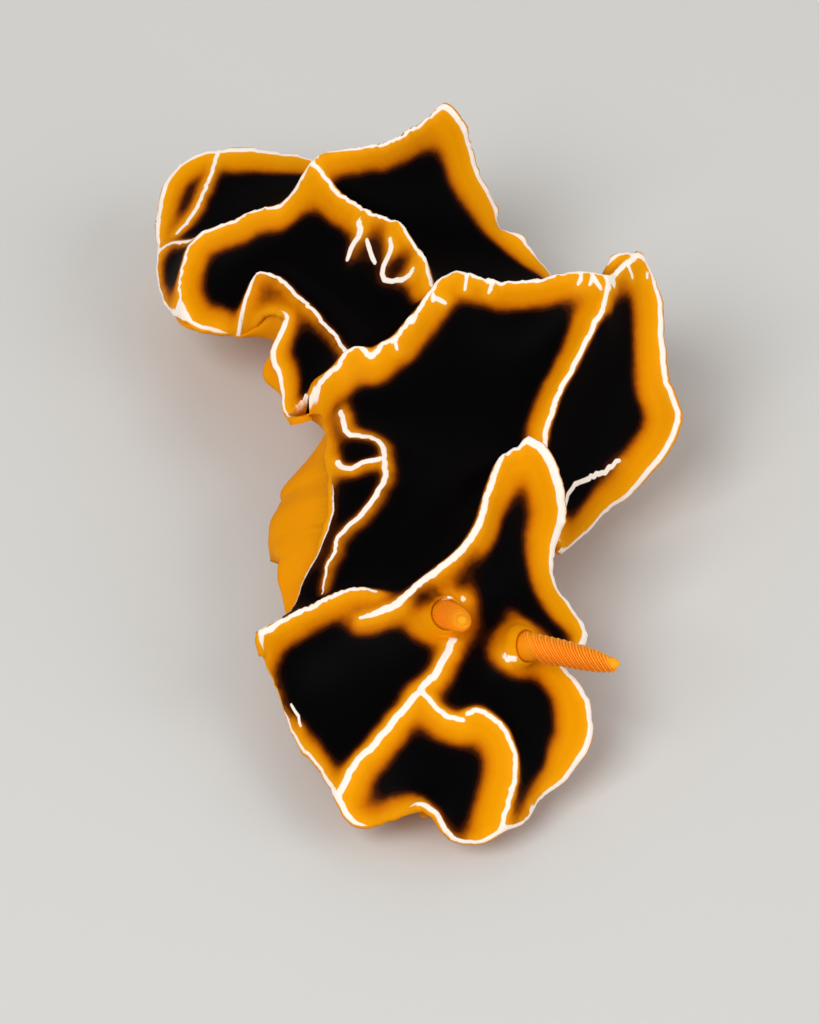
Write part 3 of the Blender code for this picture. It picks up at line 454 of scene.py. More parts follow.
def new_material(name: str, inputs: dict, rows: Sequence[NodeRow] = ()) -> Material:
    """Material of one principled shader.

    Args:
        name: Name of the material.
        inputs: Values of the shader's sockets, or the name of the node that feeds one.
        rows: Nodes before the shader, as lay_nodes takes them.

    Returns:
        The material.
    """
    material = bpy.data.materials.new(name)
    material.use_nodes = True
    tree = material.node_tree
    shader = tree.nodes["Principled BSDF"]
    sockets = lay_nodes(tree, rows)
    for key, value in inputs.items():
        if isinstance(value, str):
            tree.links.new(sockets[value], shader.inputs[key])
        else:
            shader.inputs[key].default_value = value
    return material


def link_object(name: str, data: ID) -> Object:
    """Object at the origin with a mesh, a lamp or a camera."""
    thing = bpy.data.objects.new(name, data)
    bpy.context.scene.collection.objects.link(thing)
    return thing


def plan_to_metres(points: np.ndarray | list) -> np.ndarray:
    """Places in metres of the model's frame from millimetres of the plan."""
    return (np.asarray(points, dtype=float) - (*PLAN_CENTRE, 0.0)) * MM


def mesh_from(name: str, points: np.ndarray | list, faces: list[tuple[int, ...]]) -> Mesh:
    """Smooth-shaded mesh from points in millimetres of the plan.

    Args:
        name: Name of the mesh.
        points: Rows of x, y and z in millimetres.
        faces: Corner indices of each face.

    Returns:
        The mesh in metres with outward normals.
    """
    mesh = bpy.data.meshes.new(name)
    mesh.from_pydata(plan_to_metres(points).tolist(), [], faces)
    shell = bmesh.new()
    shell.from_mesh(mesh)
    bmesh.ops.recalc_face_normals(shell, faces=shell.faces[:])
    shell.to_mesh(mesh)
    shell.free()
    mesh.shade_smooth()
    return mesh


def loft(name: str, rings: list[list[np.ndarray]]) -> Object:
    """Closed tube through rings of equal size, each end capped round its middle.

    Args:
        name: Name of the piece.
        rings: Rings in order, each a list of places in millimetres.

    Returns:
        The piece.
    """
    size = len(rings[0])
    points = [place for ring in rings for place in ring]
    faces = []
    for row in range(len(rings) - 1):
        for k in range(size):
            a, b = row * size + k, row * size + (k + 1) % size
            faces.append((a, b, b + size, a + size))
    for row in (0, len(rings) - 1):
        centre = len(points)
        points.append(np.mean(rings[row], axis=0))
        faces += [(row * size + k, row * size + (k + 1) % size, centre) for k in range(size)]
    log.info("%s: %d faces", name, len(faces))
    return link_object(name, mesh_from(name, np.array(points), faces))


def set_point_values(mesh: Mesh, name: str, values: np.ndarray) -> None:
    """Store one number for each point of a mesh under a name."""
    layer = mesh.attributes.new(name, "FLOAT", "POINT")
    layer.data.foreach_set("value", np.asarray(values, dtype=np.float32))


def blend_level(row: list, knots: list[float], k: int, level: int, t: float) -> np.ndarray:
    """One entry of a level of the Catmull-Rom pyramid."""
    low = knots[1] if level == 3 else knots[k]
    high = knots[2] if level == 3 else knots[k + level]
    return ((high - t) * row[k] + (t - low) * row[k + 1]) / (high - low)


def smooth_line(points: np.ndarray | tuple, step: float, closed: bool = False) -> np.ndarray:
    """Centripetal Catmull-Rom curve through every point.

    Args:
        points: Rows to pass through; columns after the third ride along.
        step: Wanted distance between samples in millimetres.
        closed: True where the last point joins the first.

    Returns:
        The samples as rows.
    """
    rows = [np.asarray(point, dtype=float) for point in points]
    count = len(rows)
    line = []
    for index in range(count if closed else count - 1):
        start = rows[index]
        end = rows[(index + 1) % count]
        before = rows[index - 1] if closed or index > 0 else 2 * start - end
        after = rows[(index + 2) % count] if closed or index + 2 < count else 2 * end - start
        knots = [0.0]
        for first, second in ((before, start), (start, end), (end, after)):
            gap = np.linalg.norm((second - first)[:3])
            knots.append(knots[-1] + max(gap, 1e-6) ** 0.5)
        parts = max(1, round(float(np.linalg.norm((end - start)[:3])) / step))
        for part in range(parts):
            t = knots[1] + (knots[2] - knots[1]) * part / parts
            row = [before, start, end, after]
            for level in (1, 2, 3):
                row = [blend_level(row, knots, k, level, t) for k in range(4 - level)]
            line.append(row[0])
    if not closed:
        line.append(rows[-1])
    return np.array(line)


def along_midline(x: float, y: float) -> tuple[float, list[float]]:
    """Distance to the midline and the body's values at the nearest place on it.

    Args:
        x: Plan position across the body.
        y: Plan position along the body.

    Returns:
        The distance, and the half width, resting height and groove height there.
    """
    best: tuple[float, list[float]] = (1e9, [])
    for first, second in zip(MIDLINE, MIDLINE[1:]):
        ax, ay = first[:2]
        bx, by = second[:2]
        length = (bx - ax) ** 2 + (by - ay) ** 2
        t = min(1.0, max(0.0, ((x - ax) * (bx - ax) + (y - ay) * (by - ay)) / length))
        gap = math.hypot(x - ax - t * (bx - ax), y - ay - t * (by - ay))
        if gap < best[0]:
            best = (gap, [(1 - t) * u + t * v for u, v in zip(first[2:], second[2:])])
    return best


def midline_station(y: float) -> tuple[np.ndarray, np.ndarray, float, float]:
    """Place on the midline at a length, with what a cross section needs there.

    Args:
        y: Plan position along the body.

    Returns:
        The place, the direction to the animal's left, the half width and the groove height.
    """
    ys = [row[1] for row in MIDLINE]
    line = smooth_line([(row[0], row[1], 0.0) for row in MIDLINE], 0.5)
    x, ahead, behind = np.interp((y, y + 0.5, y - 0.5), line[:, 1], line[:, 0])
    way = unit((ahead - behind, 1.0))
    half = float(np.interp(y, ys, [row[2] for row in MIDLINE]))
    groove = float(np.interp(y, ys, [row[4] for row in MIDLINE]))
    return np.array((x, y)), np.array((way[1], -way[0])), half, groove


def gap_to_segments(points: np.ndarray, starts: np.ndarray, ends: np.ndarray) -> np.ndarray:
    """Shortest distance from each point to a set of segments, in two or three axes."""
    best = np.full(len(points), 1e9)
    for start, end in zip(starts, ends):
        way = end - start
        t = np.clip(((points - start) @ way) / max(way @ way, 1e-12), 0.0, 1.0)
        rest = points - start - t[:, None] * way
        best = np.minimum(best, np.einsum("ij,ij->i", rest, rest))
    return np.sqrt(best)


def inside_outline(points: np.ndarray, outline: np.ndarray) -> np.ndarray:
    """True for each point that lies inside the closed plan outline."""
    inside = np.zeros(len(points), dtype=bool)
    x, y = points[:, 0], points[:, 1]
    for (ax, ay), (bx, by) in zip(outline, np.roll(outline, -1, axis=0)):
        crosses = (ay > y) != (by > y)
        rise = by - ay if by != ay else 1e-12
        inside ^= crosses & (x < (bx - ax) * (y - ay) / rise + ax)
    return inside


def near_rhinophores(points: np.ndarray, radius: float) -> np.ndarray:
    """True for each plan point within a radius of the foot of a rhinophore."""
    gaps = [np.linalg.norm(points - np.array(foot[:2]), axis=1)
            for foot, _, _ in RHINOPHORE_PLACES.values()]
    return np.min(gaps, axis=0) <= radius


def vertex_normals(points: np.ndarray, faces: np.ndarray) -> np.ndarray:
    """Mean normal of the faces round each point."""
    first, second, third = (points[faces[:, k]] for k in range(3))
    face_normal = np.cross(second - first, third - first)
    normal = np.zeros_like(points)
    for corner in range(3):
        np.add.at(normal, faces[:, corner], face_normal)
    return normal / np.maximum(np.linalg.norm(normal, axis=1), 1e-12)[:, None]


def lengths_along(line: np.ndarray) -> np.ndarray:
    """Distance of each sample of a line from its start."""
    steps = np.linalg.norm(np.diff(line[:, :3], axis=0), axis=1)
    return np.concatenate([[0.0], np.cumsum(steps)])


def shares_along(line: np.ndarray) -> np.ndarray:
    """Distance of each sample of a line from its start, as a share of the whole."""
    lengths = lengths_along(line)
    return lengths / lengths[-1]


@dataclass
class SheetNet:
    """Plan triangulation of the mantle, with the crests and the edge as fixed lines.

    Sizes are in millimetres. The step is the spacing of the points and the spokes are the
    points round a sheath, which has a well of the given radius and depth inside a wall.
    """

    step: float
    spokes: int
    sheath_radius: float
    sheath_wall: float
    sheath_depth: float
    # Plan radius of the outermost ring of a sheath.
    sheath_plan: float = 1.16
    # Length and relative size of the waves of a line, their reach on the edge and on the
    # crests, and the length at each end over which they die away.
    waves: tuple[tuple[float, float], ...] = ((3.4, 1.0), (1.5, 0.6), (0.8, 0.3))
    edge_wave: float = 0.035
    crest_wave: float = 0.04
    still_end: float = 1.2
    # Length at each end of a crest over which its foot draws in under its top.
    lean_end: float = 2.5
    # Least room between the even field and a fixed line, as a share of the step.
    field_gap: float = 0.55
    plan: list[tuple[float, float]] = field(default_factory=list)
    known: dict[tuple[float, float], int] = field(default_factory=dict)
    fixed: dict[int, np.ndarray] = field(default_factory=dict)
    edges: list[tuple[int, int]] = field(default_factory=list)
    margin: list[int] = field(default_factory=list)
    edge_line: np.ndarray = field(default_factory=lambda: np.zeros((0, 5)))
    crest_lines: list[tuple[Crest, list[int]]] = field(default_factory=list)
    wrinkle_lines: list[tuple[Wrinkle, list[int]]] = field(default_factory=list)
    points: np.ndarray = field(default_factory=lambda: np.zeros((0, 2)))
    faces: np.ndarray = field(default_factory=lambda: np.zeros((0, 3), dtype=int))

    def add(self, x: float, y: float, target: np.ndarray | None = None) -> int:
        """Index of the plan point at x and y, with its place in space if it has one."""
        key = (round(float(x), 4), round(float(y), 4))
        if key not in self.known:
            self.known[key] = len(self.plan)
            self.plan.append(key)
        index = self.known[key]
        if target is not None and index not in self.fixed:
            self.fixed[index] = np.array(target[:3], dtype=float)
        return index

    def chain(self, indices: list[int], closed: bool = False) -> None:
        """Keep the line through these points as edges of the net."""
        self.edges.extend(zip(indices, indices[1:]))
        if closed:
            self.edges.append((indices[-1], indices[0]))

    def wiggle(self, line: np.ndarray, seed: int, reach: float) -> np.ndarray:
        """Small uneven sideways waves of a crest or edge, none at its ends."""
        chance = np.random.default_rng(seed)
        steps = lengths_along(line)
        fade = np.clip(np.minimum(steps, steps[-1] - steps) / self.still_end, 0.0, 1.0)
        moved = line.copy()
        for wave, size in self.waves:
            phase = chance.uniform(0.0, 2 * math.pi, 3)
            for axis in range(3):
                turn = 2 * math.pi * steps / wave + phase[axis]
                moved[:, axis] += fade * reach * size * np.sin(turn)
        return moved

    def build(self) -> None:
        """Lay the lines, fill the field between them and triangulate it."""
        edge = smooth_line(MARGIN, self.step, closed=True)
        keep = {tuple(np.round(p[:2], 4)) for p in np.array(MARGIN)}
        soft = self.wiggle(edge, 11, self.edge_wave)
        given = np.array([tuple(np.round(p[:2], 4)) in keep for p in edge])
        edge[~given, :3] = soft[~given, :3]
        self.edge_line = edge
        self.margin = [self.add(p[0], p[1], p) for p in edge]
        self.chain(self.margin, closed=True)
        for number, crest in enumerate(CRESTS):
            line = self.wiggle(smooth_line(crest.points, self.step), 31 + number,
                               self.crest_wave)
            steps = lengths_along(line)
            share = np.clip(np.minimum(steps, steps[-1] - steps) / self.lean_end, 0.0, 1.0)
            rest = line[:, :2] - share[:, None] * np.array(crest.lean)
            ids = [self.add(r[0], r[1], p) for r, p in zip(rest, line)]
            self.crest_lines.append((crest, ids))
            self.chain(ids)
        for wrinkle in WRINKLES:
            line = smooth_line([(x, y, 0.0) for x, y in wrinkle.points], self.step)
            ids = [self.add(p[0], p[1]) for p in line]
            self.wrinkle_lines.append((wrinkle, ids))
            self.chain(ids)
        self.pockets()
        self.fill()
        self.triangulate()

    def pockets(self) -> None:
        """Rings of the raised sheath round the foot of each rhinophore."""
        radius, wall, depth = self.sheath_radius, self.sheath_wall, self.sheath_depth
        # Plan radius, real radius and height along the stalk of each ring.
        rings = ((0.25, 0.45 * radius, -depth), (0.48, 0.97 * radius, -depth),
                 (0.58, radius, -0.55 * depth), (0.68, radius, -0.3 * depth),
                 (0.76, radius + 0.25 * wall, 0.05), (0.86, radius + 0.55 * wall, 0.03),
                 (0.98, radius + wall, -0.18), (self.sheath_plan, radius + 1.5 * wall, -0.42))
        for foot, axis, _ in RHINOPHORE_PLACES.values():
            axis, centre = unit(axis), np.array(foot)
            side, fore = across(axis)
            self.add(foot[0], foot[1], centre - depth * axis)
            for number, (plan_radius, reach, rise) in enumerate(rings):
                count = self.spokes if number > 0 else self.spokes // 2
                flat = circle(centre, AXES[0], AXES[1], plan_radius, count)
                raised = circle(centre + rise * axis, side, fore, reach, count)
                self.chain([self.add(a[0], a[1], b) for a, b in zip(flat, raised)], closed=True)

    def fill(self) -> None:
        """Even field of plan points between the fixed lines."""
        plan = np.array(self.plan)
        outline = plan[self.margin]
        low, high = outline.min(axis=0), outline.max(axis=0)
        rows = np.arange(low[1], high[1], self.step * math.sqrt(3) / 2)
        grid = np.array([(x + (self.step / 2 if k % 2 else 0.0), y) for k, y in enumerate(rows)
                         for x in np.arange(low[0], high[0], self.step)])
        grid = grid[inside_outline(grid, outline)]
        starts = plan[[a for a, _ in self.edges]]
        ends = plan[[b for _, b in self.edges]]
        grid = grid[gap_to_segments(grid, starts, ends) > self.field_gap * self.step]
        for x, y in grid[~near_rhinophores(grid, self.sheath_plan)]:
            self.add(x, y)

    def triangulate(self) -> None:
        """Constrained Delaunay mesh of the plan, with the indices carried over."""
        result = delaunay_2d_cdt([Vector(p) for p in self.plan], self.edges, [], 1, 1e-6)
        place = {}
        for index, found in enumerate(result[3]):
            for origin in found:
                place[origin] = index
        self.points = np.array([tuple(v) for v in result[0]])
        self.faces = np.array([tuple(face) for face in result[2]])
        self.fixed = {place[k]: v for k, v in self.fixed.items() if k in place}
        self.margin = [place[k] for k in self.margin]
        self.crest_lines = [(crest, [place[k] for k in ids]) for crest, ids in self.crest_lines]
        self.wrinkle_lines = [(wrinkle, [place[k] for k in ids])
                              for wrinkle, ids in self.wrinkle_lines]

    def marked(self, indices: list[int]) -> np.ndarray:
        """True for the points with these indices."""
        mask = np.zeros(len(self.points), dtype=bool)
        mask[indices] = True
        return mask

    def neighbours(self) -> np.ndarray:
        """Pairs of joined points, each pair once."""
        pairs = np.vstack([self.faces[:, (0, 1)], self.faces[:, (1, 2)], self.faces[:, (2, 0)]])
        return np.unique(np.sort(pairs, axis=1), axis=0)

    def settle(self, held: np.ndarray, start: np.ndarray, pull: float, rounds: int) -> np.ndarray:
        """Even out a field over the net.

        Args:
            held: True for each point that keeps its value.
            start: First values, one row for each point.
            pull: Strength that draws free values to zero, as one over reach squared.
            rounds: Number of passes.

        Returns:
            The evened values.
        """
        pairs = self.neighbours()
        count = len(self.points)
        length = np.linalg.norm(self.points[pairs[:, 0]] - self.points[pairs[:, 1]], axis=1)
        weight = 1.0 / np.maximum(length, 0.3 * self.step)
        first, second = pairs[:, 0], pairs[:, 1]
        degree = np.bincount(first, weight, count) + np.bincount(second, weight, count)
        # Six neighbours on an even net measure the bend times 1.5 steps squared.
        stiff = pull * 1.5 * self.step ** 2 * degree / 6.0
        divide = np.maximum(degree + stiff, 1e-9)
        value = start.copy()
        for _ in range(rounds):
            for axis in range(value.shape[1]):
                column = value[:, axis]
                total = (np.bincount(first, weight * column[second], count)
                         + np.bincount(second, weight * column[first], count))
                value[:, axis] = np.where(held, start[:, axis], total / divide)
        return value


@dataclass
class Stroke:
    """One painted line of the mantle, with its widths in millimetres at each sample."""

    place: np.ndarray
    plan: np.ndarray
    left: np.ndarray
    right: np.ndarray
    white: np.ndarray
    ragged: float
    # Width over which the left flank's width gives way to the right one's.
    side_blend: float = 0.3
    # A wall that faces the line across a narrow fold lies far from it on the plan, so that
    # much of the plan distance counts as real.
    plan_share: float = 0.7

    def distances(self, plan: np.ndarray, points: np.ndarray) -> tuple[np.ndarray, np.ndarray]:
        """How far each point lies outside the orange and outside the white of the line.

        Args:
            plan: Resting plan places of the points.
            points: The points in space.

        Returns:
            Two rows of distances in millimetres, below zero inside the colour.
        """
        border = np.full(len(points), FAR)
        edge = np.full(len(points), FAR)
        closest = np.full(len(points), FAR + 1.0)
        for k in range(len(self.place) - 1):
            start, way = self.place[k], self.place[k + 1] - self.place[k]
            near = np.abs(points - start).max(axis=1) < FAR + 1.0
            if not near.any():
                continue
            spot = points[near]
            t = np.clip(((spot - start) @ way) / max(way @ way, 1e-9), 0.0, 1.0)
            gap = np.linalg.norm(spot - start - t[:, None] * way, axis=1)
            flat = self.plan[k + 1] - self.plan[k]
            off = plan[near] - self.plan[k]
            plan_gap = np.linalg.norm(off - t[:, None] * flat, axis=1)
            gap = np.maximum(gap, self.plan_share * plan_gap)
            side = (flat[0] * off[:, 1] - flat[1] * off[:, 0]) / max(np.hypot(*flat), 1e-6)
            share = np.clip(side / self.side_blend + 0.5, 0.0, 1.0)
            lefts = self.left[k] + (self.left[k + 1] - self.left[k]) * t
            rights = self.right[k] + (self.right[k + 1] - self.right[k]) * t
            white = self.white[k] + (self.white[k + 1] - self.white[k]) * t
            edge[near] = np.minimum(edge[near], gap - white)
            # Only the nearest part of the line knows which side of it a point lies on.
            nearer = gap < closest[near]
            spots = np.flatnonzero(near)[nearer]
            closest[spots] = gap[nearer]
            border[spots] = (gap - rights - (lefts - rights) * share)[nearer]
        return border, edge


@dataclass
class Mantle:
    """Folded mantle with its ridges, border and smooth underside. Sizes are in millimetres."""

    step: float = 0.24
    rim_thickness: float = 0.6
    rim_swell: float = 0.42
    skirt_thickness: float = 1.25
    # Way in from the edge over which the skirt grows to its full thickness, and over which
    # its underside still leans with the rim.
    skirt_grow: float = 2.0
    rim_fade: float = 1.4
    # Fall of the resting notum by the square of the way off the midline, and its least height.
    arch: float = 0.026
    least_height: float = 3.4
    # Reach of a ridge and of its lean into the skin beside it, with the rounds they take.
    ridge_reach: float = 2.2
    ridge_rounds: int = 520
    lean_reach: float = 1.7
    lean_rounds: int = 380
    # Plan radius round a rhinophore in which the skin keeps the shape of the sheath.
    sheath_hold: float = 1.2
    wrinkle_width: float = 0.3
    # Reach of the level underside past the body, and its room from the edge: the least, and
    # the growth with the height of the edge over the groove.
    groove_clearance: float = 1.7
    least_room: float = 0.8
    room_growth: float = 0.22
    # Half width of the body under which there is no level underside.
    least_half: float = 0.3
    level_rounds: int = 1800
    even_rounds: int = 14
    curl_width: float = 2.7
    # Length of edge over which the way out of a curl is averaged.
    curl_even: float = 12.0
    curl_rounds: int = 12
    # Sharpness with which borders of orange run together.
    paint_blend: float = 4.5
    paint_rounds: int = 3
    edge_ragged: float = 0.01
    # Places along a crest, as shares, where the width of its white line is given.
    taper_at: tuple[float, ...] = (0.0, 0.1, 0.6, 1.0)
    shift: np.ndarray = field(default_factory=lambda: np.zeros((0, 2)))
    inward: np.ndarray = field(default_factory=lambda: np.zeros(0))

    def upper_surface(self, net: SheetNet) -> np.ndarray:
        """Back of the animal: crests and edge held, the skin between them settled."""
        rest = np.array([max(height - self.arch * gap ** 2, self.least_height)
                         for gap, (_, height, _) in (along_midline(x, y) for x, y in net.points)])
        held = net.marked(list(net.fixed))
        change = np.zeros((len(net.points), 3))
        for index, target in net.fixed.items():
            change[index, :2] = target[:2] - net.points[index]
            change[index, 2] = target[2] - rest[index]
        self.shift = net.settle(held, change[:, :2], 1.0 / self.lean_reach ** 2,
                                self.lean_rounds)
        rise = net.settle(held, change[:, 2:], 1.0 / self.ridge_reach ** 2, self.ridge_rounds)
        upper = np.column_stack([net.points + self.shift, rest + rise[:, 0]])
        held = net.marked(net.margin) | near_rhinophores(net.points, self.sheath_hold)
        # The crests stay sharp while the skin beside them evens out, then round a little.
        crisp = held.copy()
        for _, ids in net.crest_lines:
            crisp[ids] = True
        upper = net.settle(held, net.settle(crisp, upper, 0.0, 3), 0.0, 1)
        for wrinkle, ids in net.wrinkle_lines:
            line = net.points[ids]
            gap = gap_to_segments(net.points, line[:-1], line[1:])
            upper[:, 2] += wrinkle.relief * np.exp(-(gap / self.wrinkle_width) ** 2)
        return upper

    def over_body(self, net: SheetNet, upper: np.ndarray) -> tuple[np.ndarray, np.ndarray]:
        """Height of the groove under each point, and True where the underside lies level."""
        outline = net.points[net.margin]
        groove = np.zeros(len(net.points))
        core = np.zeros(len(net.points), dtype=bool)
        for index, (x, y) in enumerate(net.points):
            gap, (half, _, under) = along_midline(x, y)
            groove[index] = under
            if gap < half + self.groove_clearance and half > self.least_half:
                near = np.argmin(((outline - (x, y)) ** 2).sum(axis=1))
                height = max(0.0, upper[net.margin[near], 2] - under)
                core[index] = self.inward[index] > self.least_room + self.room_growth * height
        return groove, core

    def lower_surface(self, net: SheetNet, upper: np.ndarray) -> np.ndarray:
        """Underside of the skirt, level over the body and rolled out at the curls."""
        outline = net.points[net.margin]
        self.inward = inward = gap_to_segments(net.points, outline, np.roll(outline, -1, axis=0))
        normal = vertex_normals(upper, net.faces)
        groove, core = self.over_body(net, upper)
        edge = net.marked(net.margin)
        inner = ~edge
        lower = upper.copy()
        lower[edge] -= self.rim_thickness * normal[edge]
        start = np.where(core, groove, groove + 1.0)
        start[edge] = lower[edge, 2]
        level = net.settle(edge | core, start[:, None], 0.0, self.level_rounds)[:, 0]
        grow = np.clip(inward / self.skirt_grow, 0.0, 1.0)
        thick = self.rim_thickness + (self.skirt_thickness - self.rim_thickness) * grow
        # Where the skin is steep, its thickness takes more height, but never without limit.
        ceiling = upper[:, 2] - thick / np.clip(normal[:, 2], 0.4, 1.0)
        fade = np.exp(-inward / self.rim_fade)
        lower[inner, :2] = net.points[inner] + (self.shift * fade[:, None])[inner]
        lower[inner, :2] -= (normal[:, :2] * (self.rim_thickness * fade)[:, None])[inner]
        lower[inner, 2] = np.minimum(level, ceiling)[inner]
        lower = net.settle(edge | core, lower, 0.0, self.even_rounds)
        lower[inner, 2] = np.minimum(lower[:, 2], ceiling)[inner]
        lower[:, :2] += self.roll_out(net, inward)
        return net.settle(edge | core, lower, 0.0, self.curl_rounds)

    def roll_out(self, net: SheetNet, inward: np.ndarray) -> np.ndarray:
        """Sideways moves that roll the underside out past the edge at the curls.

        Args:
            net: Plan net of the mantle.
            inward: Plan distance of each point from the edge.

        Returns:
            A plan move for each point.
        """
        outline = net.points[net.margin]
        reach = round(self.curl_even / 2 / self.step)
        along = np.roll(outline, -reach, axis=0) - np.roll(outline, reach, axis=0)
        outward = np.column_stack([-along[:, 1], along[:, 0]])
        outward /= np.linalg.norm(outward, axis=1)[:, None]
        moves = np.zeros((len(net.points), 2))
        for index in np.flatnonzero((inward > 0.0) & (inward < self.curl_width)):
            share = inward[index] / self.curl_width
            near = np.argmin(((outline - net.points[index]) ** 2).sum(axis=1))
            for centre, length, bulge in CURLS:
                fold = math.exp(-(math.dist(outline[near], centre) / length) ** 2)
                roll = bulge * math.sin(math.pi * share) + inward[index] * (1.0 - share)
                moves[index] += fold * roll * outward[near]
        return moves

    def strokes(self, net: SheetNet, points: np.ndarray) -> list[Stroke]:
        """Every painted line of the mantle: the edge, the crests and the wrinkles."""
        closed = np.vstack([net.edge_line, net.edge_line[:1]])
        result = [Stroke(closed[:, :3], closed[:, :2], closed[:, 3], closed[:, 3],
                         closed[:, 4], self.edge_ragged)]
        for crest, ids in net.crest_lines:
            share = shares_along(points[ids])
            first, last = crest.ends
            taper = np.interp(share, self.taper_at, (first, 1.0, 1.0, last))
            result.append(Stroke(points[ids], net.points[ids],
                                 np.interp(share, (0, 1), crest.left),
                                 np.interp(share, (0, 1), crest.right), crest.white * taper,
                                 crest.ragged))
        for wrinkle, ids in net.wrinkle_lines:
            # The line keeps three quarters of its width at its ends.
            share = shares_along(points[ids])
            taper = 0.75 + 0.25 * np.clip(np.minimum(share, 1.0 - share) / 0.2, 0.0, 1.0)
            left, right = (np.full(len(ids), flank) for flank in wrinkle.flanks)
            result.append(Stroke(points[ids], net.points[ids], left, right,
                                 wrinkle.white * taper, wrinkle.ragged))
        return result

    def paint(self, net: SheetNet, points: np.ndarray) -> dict[str, np.ndarray]:
        """Distances that colour the skin, in millimetres and below zero inside a colour.

        Args:
            net: Plan net of the mantle.
            points: Places of the upper surface.

        Returns:
            Distance past the orange, distance past the white and unevenness of the white.
        """
        count = len(points)
        total = np.zeros(count)
        line = np.full(count, FAR)
        ragged = np.zeros(count)
        for stroke in self.strokes(net, points):
            border, edge = stroke.distances(net.points, points)
            total += np.exp(-self.paint_blend * border)
            closer = edge < line
            line = np.where(closer, edge, line)
            ragged = np.where(closer, stroke.ragged, ragged)
        for centre, radius in HALOS:
            gap = np.linalg.norm(points - np.array(centre), axis=1) - radius
            total += np.exp(-self.paint_blend * gap)
        band = -np.log(np.maximum(total, 1e-9)) / self.paint_blend
        for start, end, radius in SMUDGES:
            gap = gap_to_segments(points, np.array([start]), np.array([end]))
            band = np.maximum(band, radius - gap)
        free = np.zeros(count, dtype=bool)
        band = net.settle(free, band[:, None], 0.0, self.paint_rounds)[:, 0]
        for dash, half in DASHES:
            gap = gap_to_segments(points, np.array(dash[:-1]), np.array(dash[1:]))
            line = np.minimum(line, gap - half)
        return {"band": band, "line": line, "ragged": ragged}

    def build(self) -> Object:
        """Closed skin of the mantle with its painted values."""
        net = SheetNet(step=self.step, spokes=36, sheath_radius=0.97, sheath_wall=0.26,
                       sheath_depth=0.15)
        net.build()
        upper = self.upper_surface(net)
        lower = self.lower_surface(net, upper)
        count = len(net.points)
        painted = self.paint(net, upper)
        loop = net.margin
        top, bottom = upper[loop], lower[loop]
        along = np.roll(top, -1, axis=0) - np.roll(top, 1, axis=0)
        out = np.cross(along, top - bottom)
        out /= np.maximum(np.linalg.norm(out, axis=1), 1e-9)[:, None]
        centre = np.array([net.points[loop].mean(axis=0)])
        if np.mean(np.einsum("ij,ij->i", out[:, :2], net.points[loop] - centre)) < 0:
            out = -out
        swell = self.rim_swell * self.rim_thickness
        rims = [top + (bottom - top) * share + swell * math.sin(math.pi * share) * out
                for share in RIM_SHARES]
        points = np.vstack([upper, lower, *rims])
        faces = [tuple(face) for face in net.faces.tolist()]
        faces += [(c + count, b + count, a + count) for a, b, c in net.faces.tolist()]
        rows = [loop, *np.arange(2 * count, len(points)).reshape(len(rims), -1).tolist(),
                [index + count for index in loop]]
        for first, second in zip(rows, rows[1:]):
            for n in range(len(loop)):
                m = (n + 1) % len(loop)
                faces.append((first[m], first[n], second[n], second[m]))
        mesh = mesh_from("mantle", points, faces)
        self.store(mesh, painted, net)
        log.info("mantle: %d points, %d faces", len(points), len(mesh.polygons))
        return link_object("mantle", mesh)

    def store(self, mesh: Mesh, painted: dict[str, np.ndarray], net: SheetNet) -> None:
        """Put the painted values of the upper, lower and rim points on the mesh."""
        count, rim = len(net.points), len(net.margin)
        unseen = count + rim * len(RIM_SHARES)
        white = net.edge_line[:, 4]
        below = self.rim_thickness + self.inward
        below[net.margin] -= white
        values = {
            "band": (painted["band"], np.full(unseen, -1.0)),
            "line": (painted["line"], below,
                     *(self.rim_thickness * share - white for share in RIM_SHARES)),
            "ragged": (painted["ragged"], np.full(unseen, self.edge_ragged)),
            "region": (np.full(count, Region.NOTUM.value),
                       np.full(count, Region.UNDERSIDE.value),
                       *(np.full(rim, share) for share in RIM_REGIONS)),
        }
        for name, parts in values.items():
            set_point_values(mesh, name, np.concatenate(parts))


